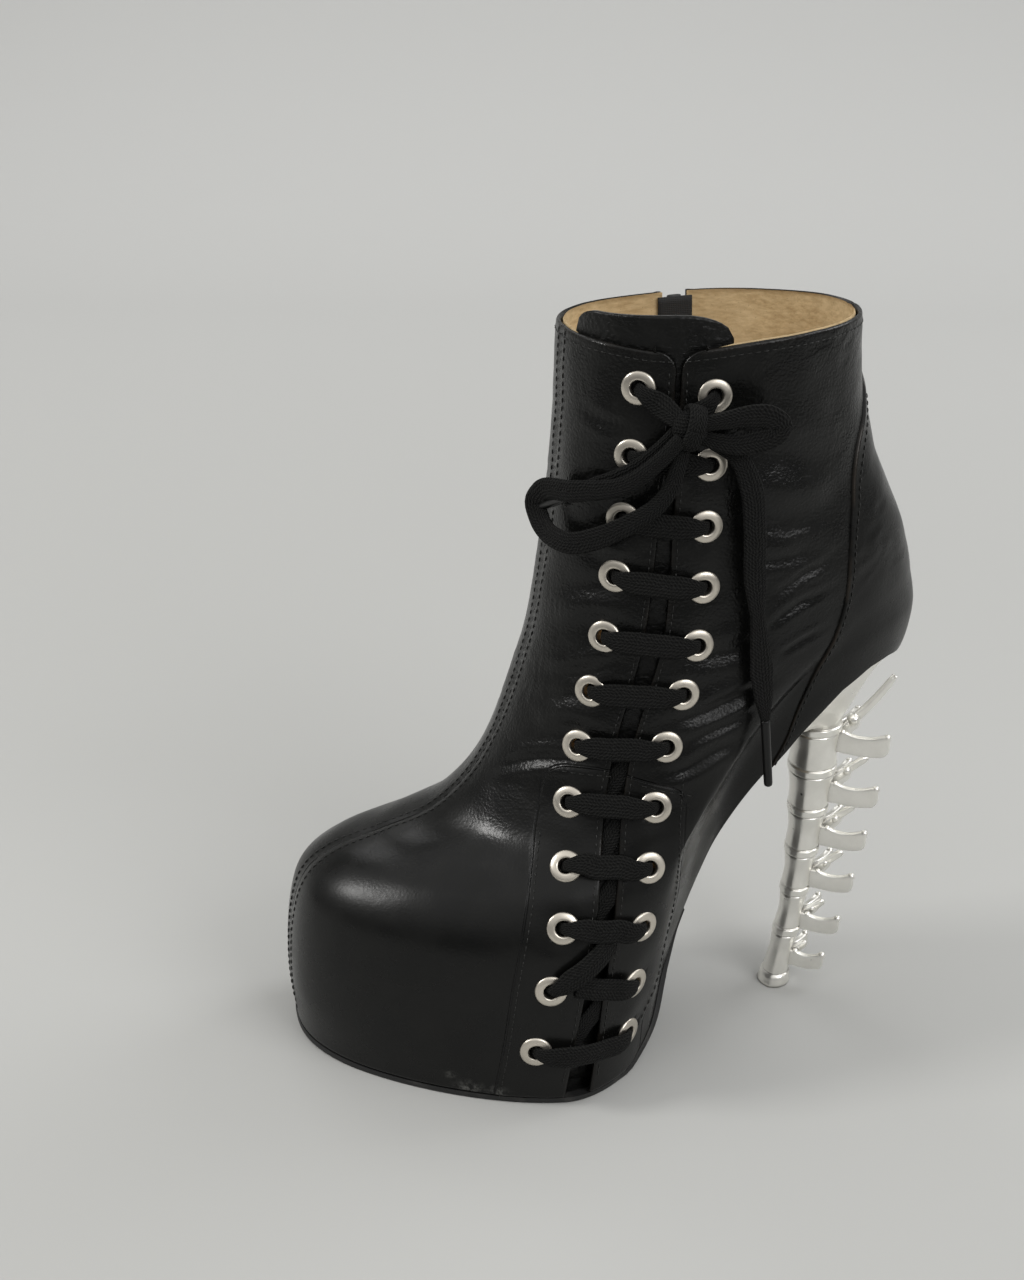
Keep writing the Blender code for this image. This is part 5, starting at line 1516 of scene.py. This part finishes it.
# Vertebrae: height, then the side blades' length and height, then the back spine and its knob
VERTEBRA_COLUMNS = ("z", "length", "height", "spine_drop", "spine_slope", "spine_length", "knob_at", "knob")
VERTEBRAE = (
    (100.0, 27.0, 8.6, 9.7, 47.0, 43.5, 0.50, 2.6),
    (79.5, 25.0, 8.2, 2.0, 30.0, 25.7, 0.64, 2.0),
    (61.5, 23.0, 7.8, 2.0, 30.0, 22.5, 0.62, 1.9),
    (43.7, 21.0, 7.4, 2.0, 30.0, 20.7, 0.62, 1.7),
    (25.8, 19.0, 7.0, 2.0, 30.0, 16.2, 0.66, 1.6),
    (10.3, 17.0, 6.6, 2.0, 30.0, 13.0, 0.68, 1.4),
)
# Outline of a back spine from its foot to its point: share of its length, millimetres off its middle
SPINE_LOW = ((0.0, -1.9), (0.35, -1.9), (0.5, -2.0), (0.7, -1.7), (0.9, -1.5), (0.975, -1.1), (1.0, -0.1))
SPINE_HIGH = ((0.98, 0.9), (0.9, 1.4), (0.7, 1.6), (0.5, 1.9), (0.35, 1.8), (0.0, 1.9))
HEEL_TURNS = 96


def heel_bearings():
    return np.linspace(0, 2 * np.pi, HEEL_TURNS, endpoint=False) - np.pi / 2


def column_shape():
    """x and y of the column's section for a radius of one, with a flat to each side of the breast."""
    table = np.array(COLUMN_SECTION)
    corner = np.radians(table[:, 0])
    xs, ys = table[:, 1] * np.cos(corner), table[:, 1] * np.sin(corner)
    bearing = heel_bearings()
    half = np.arcsin(np.clip(np.sin(bearing), -1, 1))
    x, y = np.interp(half, corner, xs), np.interp(half, corner, ys)
    return np.stack([np.where(np.cos(bearing) >= 0, x, -x), y], -1)


def soft_section(section):
    """Rounds a section's corners by averaging each point with its neighbours."""
    for _ in range(10):
        section = 0.5 * section + 0.25 * (np.roll(section, 1, axis=0) + np.roll(section, -1, axis=0))
    return section


def column_ring(z, extra, section):
    centre_y, radius = through(COLUMN, z)
    flat = section * (radius + extra)
    return np.column_stack([flat[:, 0], centre_y + flat[:, 1], np.full(len(flat), float(z))])


def ring_offset(z):
    """Rings and waists down the column: a raised band between two grooves, hollow between bands."""
    far = np.abs(np.array(RING_HEIGHTS) - z).min()
    band = 0.42 * (1 - smooth(far, RING_HALF - 0.15, RING_HALF + 0.1))
    groove = -0.35 * np.exp(-((far - RING_HALF - 0.4) / 0.28) ** 2)
    waist = -0.55 * smooth(far, 1.5, 8.0)
    return band + groove + waist


def column_heights(low, high):
    heights = list(np.arange(low, high, 1.5))
    for ring in RING_HEIGHTS:
        heights += [ring + s for s in np.arange(-2.6, 2.7, 0.2)]
    return [z for z in sorted(set(np.round(heights, 3))) if low <= z <= high]


def seat_outline():
    """Rim of the heel's cup along the leather's lower edge, drawn in towards the column at the breast."""
    theta = np.linspace(0, 2 * np.pi, 1441)
    level = lip_level(theta) + LIP_LAP * (lip_level(theta) > 0)
    edge = skin(theta, level) - LIP_SINK * skin_normal(theta, level)
    edge = edge[edge[:, 1] > BREAST_Y]
    spokes = edge[:, :2] - np.array([0.0, CUP_CENTRE_Y])
    bearing = np.arctan2(spokes[:, 1], spokes[:, 0]) % (2 * np.pi)
    order = np.argsort(bearing)
    turns = heel_bearings()
    reach, top = [np.interp(turns % (2 * np.pi), bearing[order], values[order], period=2 * np.pi)
                  for values in (np.linalg.norm(spokes, axis=1), edge[:, 2])]
    out = smooth(np.sin(turns), *BREAST_TURN)
    reach = BREAST_REACH + (reach - BREAST_REACH) * out
    x, y = reach * np.cos(turns), CUP_CENTRE_Y + reach * np.sin(turns)
    z = np.interp(y, SOLE_FINE[:, 0], SOLE_FINE[:, 1]) - 0.15
    return np.column_stack([x, y, z + (top - z) * out])


def lofted(name, sections):
    grid = np.array(sections)
    count, size = grid.shape[:2]
    points = np.concatenate([grid.reshape(-1, 3), [grid[0].mean(0)], [grid[-1].mean(0)]])
    faces = grid_faces(count, size, closed=True)
    low, high = count * size, count * size + 1
    faces += [(low, (k + 1) % size, k) for k in range(size)]
    faces += [(high, (count - 1) * size + k, (count - 1) * size + (k + 1) % size) for k in range(size)]
    return outward(mesh_of(name, points, faces))


def plate_mesh(name, outline, thickness, origin, ahead, up, edge):
    """Flat outline with rounded edges, put at origin along two directions."""
    curve = bpy.data.curves.new(name, "CURVE")
    curve.dimensions = "2D"
    curve.fill_mode = "BOTH"
    curve.extrude = (thickness / 2 - edge) * MM
    curve.bevel_depth = edge * MM
    curve.bevel_resolution = 3
    curve.offset = -edge * MM
    spline = curve.splines.new("POLY")
    spline.points.add(len(outline) - 1)
    for point, (u, v) in zip(spline.points, outline):
        point.co = (u * MM, v * MM, 0.0, 1.0)
    spline.use_cyclic_u = True
    guide = bpy.data.objects.new(name, curve)
    bpy.context.scene.collection.objects.link(guide)
    bpy.context.view_layer.update()
    mesh = bpy.data.meshes.new_from_object(guide.evaluated_get(bpy.context.evaluated_depsgraph_get()))
    bpy.data.objects.remove(guide)
    turn = Matrix([ahead, up, Vector(ahead).cross(Vector(up))]).transposed().to_4x4()
    mesh.transform(Matrix.Translation(Vector(placed(origin))) @ turn)
    outward(mesh, 1e-5).shade_smooth()
    return mesh


def ball_mesh(name, centre, radius):
    shape = bmesh.new()
    bmesh.ops.create_uvsphere(shape, u_segments=16, v_segments=10, radius=radius * MM,
                              matrix=Matrix.Translation(Vector(placed(centre))))
    mesh = bpy.data.meshes.new(name)
    shape.to_mesh(mesh)
    shape.free()
    mesh.shade_smooth()
    return mesh


# Outline of a side blade, seen from outside: share of its length, share of its height
BLADE_OUTLINE = (
    (0.0, 0.08), (0.35, 0.06), (0.50, 0.01), (0.65, -0.02), (0.80, 0.0), (0.91, 0.06), (0.975, 0.20),
    (1.0, 0.42), (1.0, 0.75), (0.985, 0.98), (0.95, 1.05), (0.90, 1.01), (0.81, 0.92), (0.68, 0.86),
    (0.56, 0.87), (0.47, 0.94), (0.40, 1.03), (0.33, 1.05), (0.0, 1.0),
)
# Knobs of a side blade, as shares of its length and height, and their radius
BLADE_KNOBS = ((0.37, 0.93), (0.96, 0.95))
BLADE_KNOB_RADIUS = 1.35


def blade_meshes(root, side, size):
    splay = math.radians(BLADE_SPLAY)
    ahead = Vector((side * math.sin(splay), math.cos(splay), 0.0))
    up = Vector((0, 0, 1))
    fine = route(BLADE_OUTLINE, 0.03)
    outline = [(s * size["length"], (h - 0.5) * size["height"]) for s, h in fine]
    plates = [plate_mesh("blade", outline, BLADE_THICK, root, ahead, up, 0.75)]
    for s, h in BLADE_KNOBS:
        spot = np.array(root) + np.array(ahead) * s * size["length"]
        spot[2] += (h - 0.5) * size["height"]
        plates.append(ball_mesh("knob", spot, BLADE_KNOB_RADIUS))
    return plates


def spine_meshes(root, size):
    """Back spine of a vertebra: a flat hook with a knob where it leaves the column."""
    slope, length = math.radians(size["spine_slope"]), size["spine_length"]
    ahead = Vector((0, math.cos(slope), math.sin(slope)))
    up = Vector((0, -math.sin(slope), math.cos(slope)))
    fine = route(SPINE_LOW + SPINE_HIGH, 0.1)
    bow = 0.7 if length > 30 else -0.2
    outline = [(s * length, v + bow * math.sin(2 * math.pi * s)) for s, v in fine]
    foot = np.array(root) - (0.0, 0.0, size["spine_drop"])
    knob = foot + np.array(ahead) * size["knob_at"] * length
    plate = plate_mesh("spine", outline, SPINE_THICK, foot, ahead, up, 0.9)
    return [plate, ball_mesh("spine_knob", knob, size["knob"])]


# Silver lip of the heel's cup over the lower edge of the upper: angle in degrees, level of its top
CUP_LIP = (
    (124.0, 0.0), (128.0, 0.12), (131.0, 0.50), (134.5, 0.78), (139.0, 1.22), (146.5, 1.42), (155.0, 1.25),
    (161.5, 1.0), (180.0, 0.8),
)
LIP_SINK = 0.35
LIP_LAP = 0.05


def lip_level(theta):
    """Level of the leather's lower edge: the sole edge, or higher where the heel's cup comes up over it."""
    turn = np.degrees(np.asarray(theta, float)) % 360.0
    rows = np.array(CUP_LIP)
    return np.interp(np.minimum(turn, 360.0 - turn), rows[:, 0], rows[:, 1], left=0.0)


def build_heel(finishes):
    section = soft_section(column_shape())
    sections = [column_ring(z, ring_offset(z), section) for z in column_heights(TIP_HEIGHT + GAP, 108.0)]
    foot = column_ring(CUP_FOOT_Z, 0.1, section)
    seat = seat_outline()
    side, back = CUP_FLARE
    flare = (side + (back - side) * smooth(np.sin(heel_bearings()), 0.2, 0.95))[:, None]
    for share in np.linspace(0, 1, 30):
        ring = foot + (seat - foot) * share
        ring[:, :2] = foot[:, :2] + (seat[:, :2] - foot[:, :2]) * share ** flare
        sections.append(ring)
    meshes = [lofted("heel_column", sections)]
    for row in VERTEBRAE:
        size = dict(zip(VERTEBRA_COLUMNS, row))
        root = (0.0, float(through(COLUMN, size["z"])[0]), size["z"])
        for side in (1, -1):
            meshes += blade_meshes(root, side, size)
        meshes += spine_meshes(root, size)
    heel = joined("spine_heel", meshes, [finishes["silver"]])
    heel.data.set_sharp_from_angle(angle=math.radians(60))
    finished(heel, "silver_coat", "heel")

    foot_profile = ((0.0, -0.25), (0.25, 0.0), (0.9, 0.12), (1.6, 0.0), (3.0, -0.1), (TIP_HEIGHT, -0.05))
    tip = lofted("heel_tip_foot", [column_ring(z, extra, section) for z, extra in foot_profile])
    finished(add_mesh("heel_tip_foot", tip, [finishes["silver"]]), "silver_coat", "heel_tip")


# Camera, floor and light

BACKDROP_GREY = (0.45, 0.45, 0.438)
BACKDROP_FAR = (0.59, 0.59, 0.58)


def camera_axes():
    turn, tilt, roll = (math.radians(CAMERA[key]) for key in ("turn", "tilt", "roll"))
    back = Vector((math.sin(turn) * math.cos(tilt), -math.cos(turn) * math.cos(tilt), math.sin(tilt)))
    right = Vector((math.cos(turn), math.sin(turn), 0.0))
    up = back.cross(right)
    right, up = right * math.cos(roll) + up * math.sin(roll), up * math.cos(roll) - right * math.sin(roll)
    return right, up, back


def build_camera():
    right, up, back = camera_axes()
    lens = bpy.data.cameras.new("camera")
    lens.sensor_width = 36.0
    lens.lens = CAMERA["focal"] / PICTURE_HEIGHT * lens.sensor_width
    camera = bpy.data.objects.new("camera", lens)
    bpy.context.scene.collection.objects.link(camera)
    spot = Vector(placed(np.array(CAMERA_TARGET))) + back * CAMERA["distance"] * MM
    camera.matrix_world = Matrix.Translation(spot) @ Matrix([right, up, back]).transposed().to_4x4()
    bpy.context.scene.camera = camera


def build_backdrop():
    """Pale floor that curves up into a wall far behind the boot and is darker on the side of the camera."""
    _, _, back = camera_axes()
    flat = Vector((back.x, back.y, 0.0)).normalized()
    side = Vector((-flat.y, flat.x, 0.0))
    profile = [(3.0, 0.0), (-1.2, 0.0)]
    for a in np.linspace(0.1, math.pi / 2, 12):
        profile.append((-1.2 - 0.8 * math.sin(a), 0.8 - 0.8 * math.cos(a)))
    profile.append((-2.0, 4.0))
    points = [flat * d + side * w + Vector((0, 0, h)) for d, h in profile for w in (-5.0, 5.0)]
    faces = [(2 * k, 2 * k + 1, 2 * k + 3, 2 * k + 2) for k in range(len(profile) - 1)]
    mesh = bpy.data.meshes.new("backdrop")
    mesh.from_pydata(points, [], faces)
    mesh.shade_smooth()
    paper = new_finish("pale_paper", BACKDROP_GREY, 0.9, Specular_IOR_Level=0.1)
    tree = paper.node_tree
    towards = node(tree, "ShaderNodeVectorMath", {0: object_place(tree), 1: tuple(flat)},
                   operation="DOT_PRODUCT")
    near = ramp(tree, towards.outputs["Value"], 0.3, 0.8)
    far = ramp(tree, towards.outputs["Value"], -0.3, -1.7)
    tone = mixed(tree, far, BACKDROP_GREY, BACKDROP_FAR)
    feed(paper, "Base Color", mixed(tree, near, tone, tuple(0.38 * c for c in BACKDROP_GREY)))
    add_mesh("backdrop", mesh, [paper])


# Soft lights: bearing from the toe round by the outer side, height angle, distance, size, power, colour
LIGHTS = (
    ("key", -8.0, 36.0, 1.7, 0.40, 0.34, 11.0, (1.0, 0.99, 0.97)),
    ("side", 120.0, 34.0, 1.7, 1.0, 0.75, 10.5, (1.0, 1.0, 1.0)),
    ("back", 195.0, 40.0, 1.8, 0.8, 0.8, 8.0, (0.98, 0.99, 1.0)),
    ("inner", -80.0, 45.0, 1.8, 0.7, 0.6, 3.0, (1.0, 1.0, 1.0)),
)
LIGHT_TARGET = Vector((0.0, 0.0, 0.12))
# Brightness of the room at the horizon and overhead
ROOM_LOW = 0.2
ROOM_HIGH = 0.92


def build_lights():
    for name, bearing, rise, distance, width, height, power, colour in LIGHTS:
        light = bpy.data.lights.new(name, "AREA")
        light.shape = "RECTANGLE"
        light.size, light.size_y = width, height
        light.energy = power
        light.color = colour
        lamp = bpy.data.objects.new(name, light)
        bpy.context.scene.collection.objects.link(lamp)
        turn, lift = math.radians(bearing), math.radians(rise)
        away = Vector((math.sin(turn) * math.cos(lift), -math.cos(turn) * math.cos(lift), math.sin(lift)))
        lamp.location = LIGHT_TARGET + away * distance
        lamp.rotation_euler = away.to_track_quat("Z", "Y").to_euler()
    world = bpy.data.worlds.new("studio")
    world.use_nodes = True
    tree = world.node_tree
    sky = node(tree, "ShaderNodeTexCoord").outputs["Generated"]
    way = node(tree, "ShaderNodeSeparateXYZ", {"Vector": sky})
    strength = ramp(tree, way.outputs["Z"], 0.02, 0.85, ROOM_LOW, ROOM_HIGH)
    tree.nodes["Background"].inputs["Color"].default_value = (1.0, 1.0, 0.985, 1.0)
    tree.links.new(strength, tree.nodes["Background"].inputs["Strength"])
    bpy.context.scene.world = world
    bpy.context.scene.view_settings.view_transform = "Standard"


def build_inside(finishes):
    """Sock and platform keep their solids and take their finishes."""
    for node_name, finish in (("insole", "lining"), ("platform", "plain_leather")):
        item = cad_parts[node_name]
        item.data.materials.clear()
        item.data.materials.append(finishes[finish])


def main():
    build_camera()
    finishes = make_finishes()
    leather = Leather()
    wall = build_upper(leather, finishes)
    seat_eyelets(leather, wall)
    on_points, on_lines = items_tree("rings_on_points", False), items_tree("stitches_on_lines", True)
    build_bow(leather.tree, finishes)
    build_lace_bars(leather, finishes)
    build_eyelets(leather, on_points, finishes)
    build_counter(leather, finishes)
    build_tongue(finishes)
    build_outsole(finishes)
    build_heel(finishes)
    build_zip(on_lines, finishes)
    soften("zip_slider", "zip_slider_body", finishes["nickel"], "nickel", BOOT)
    soften("zip_pull", "zip_pull_tab", finishes["nickel"], "nickel", "zip_pull", 0.3)
    build_stitches(leather, wall, on_lines, finishes)
    build_inside(finishes)
    build_backdrop()
    build_lights()


main()
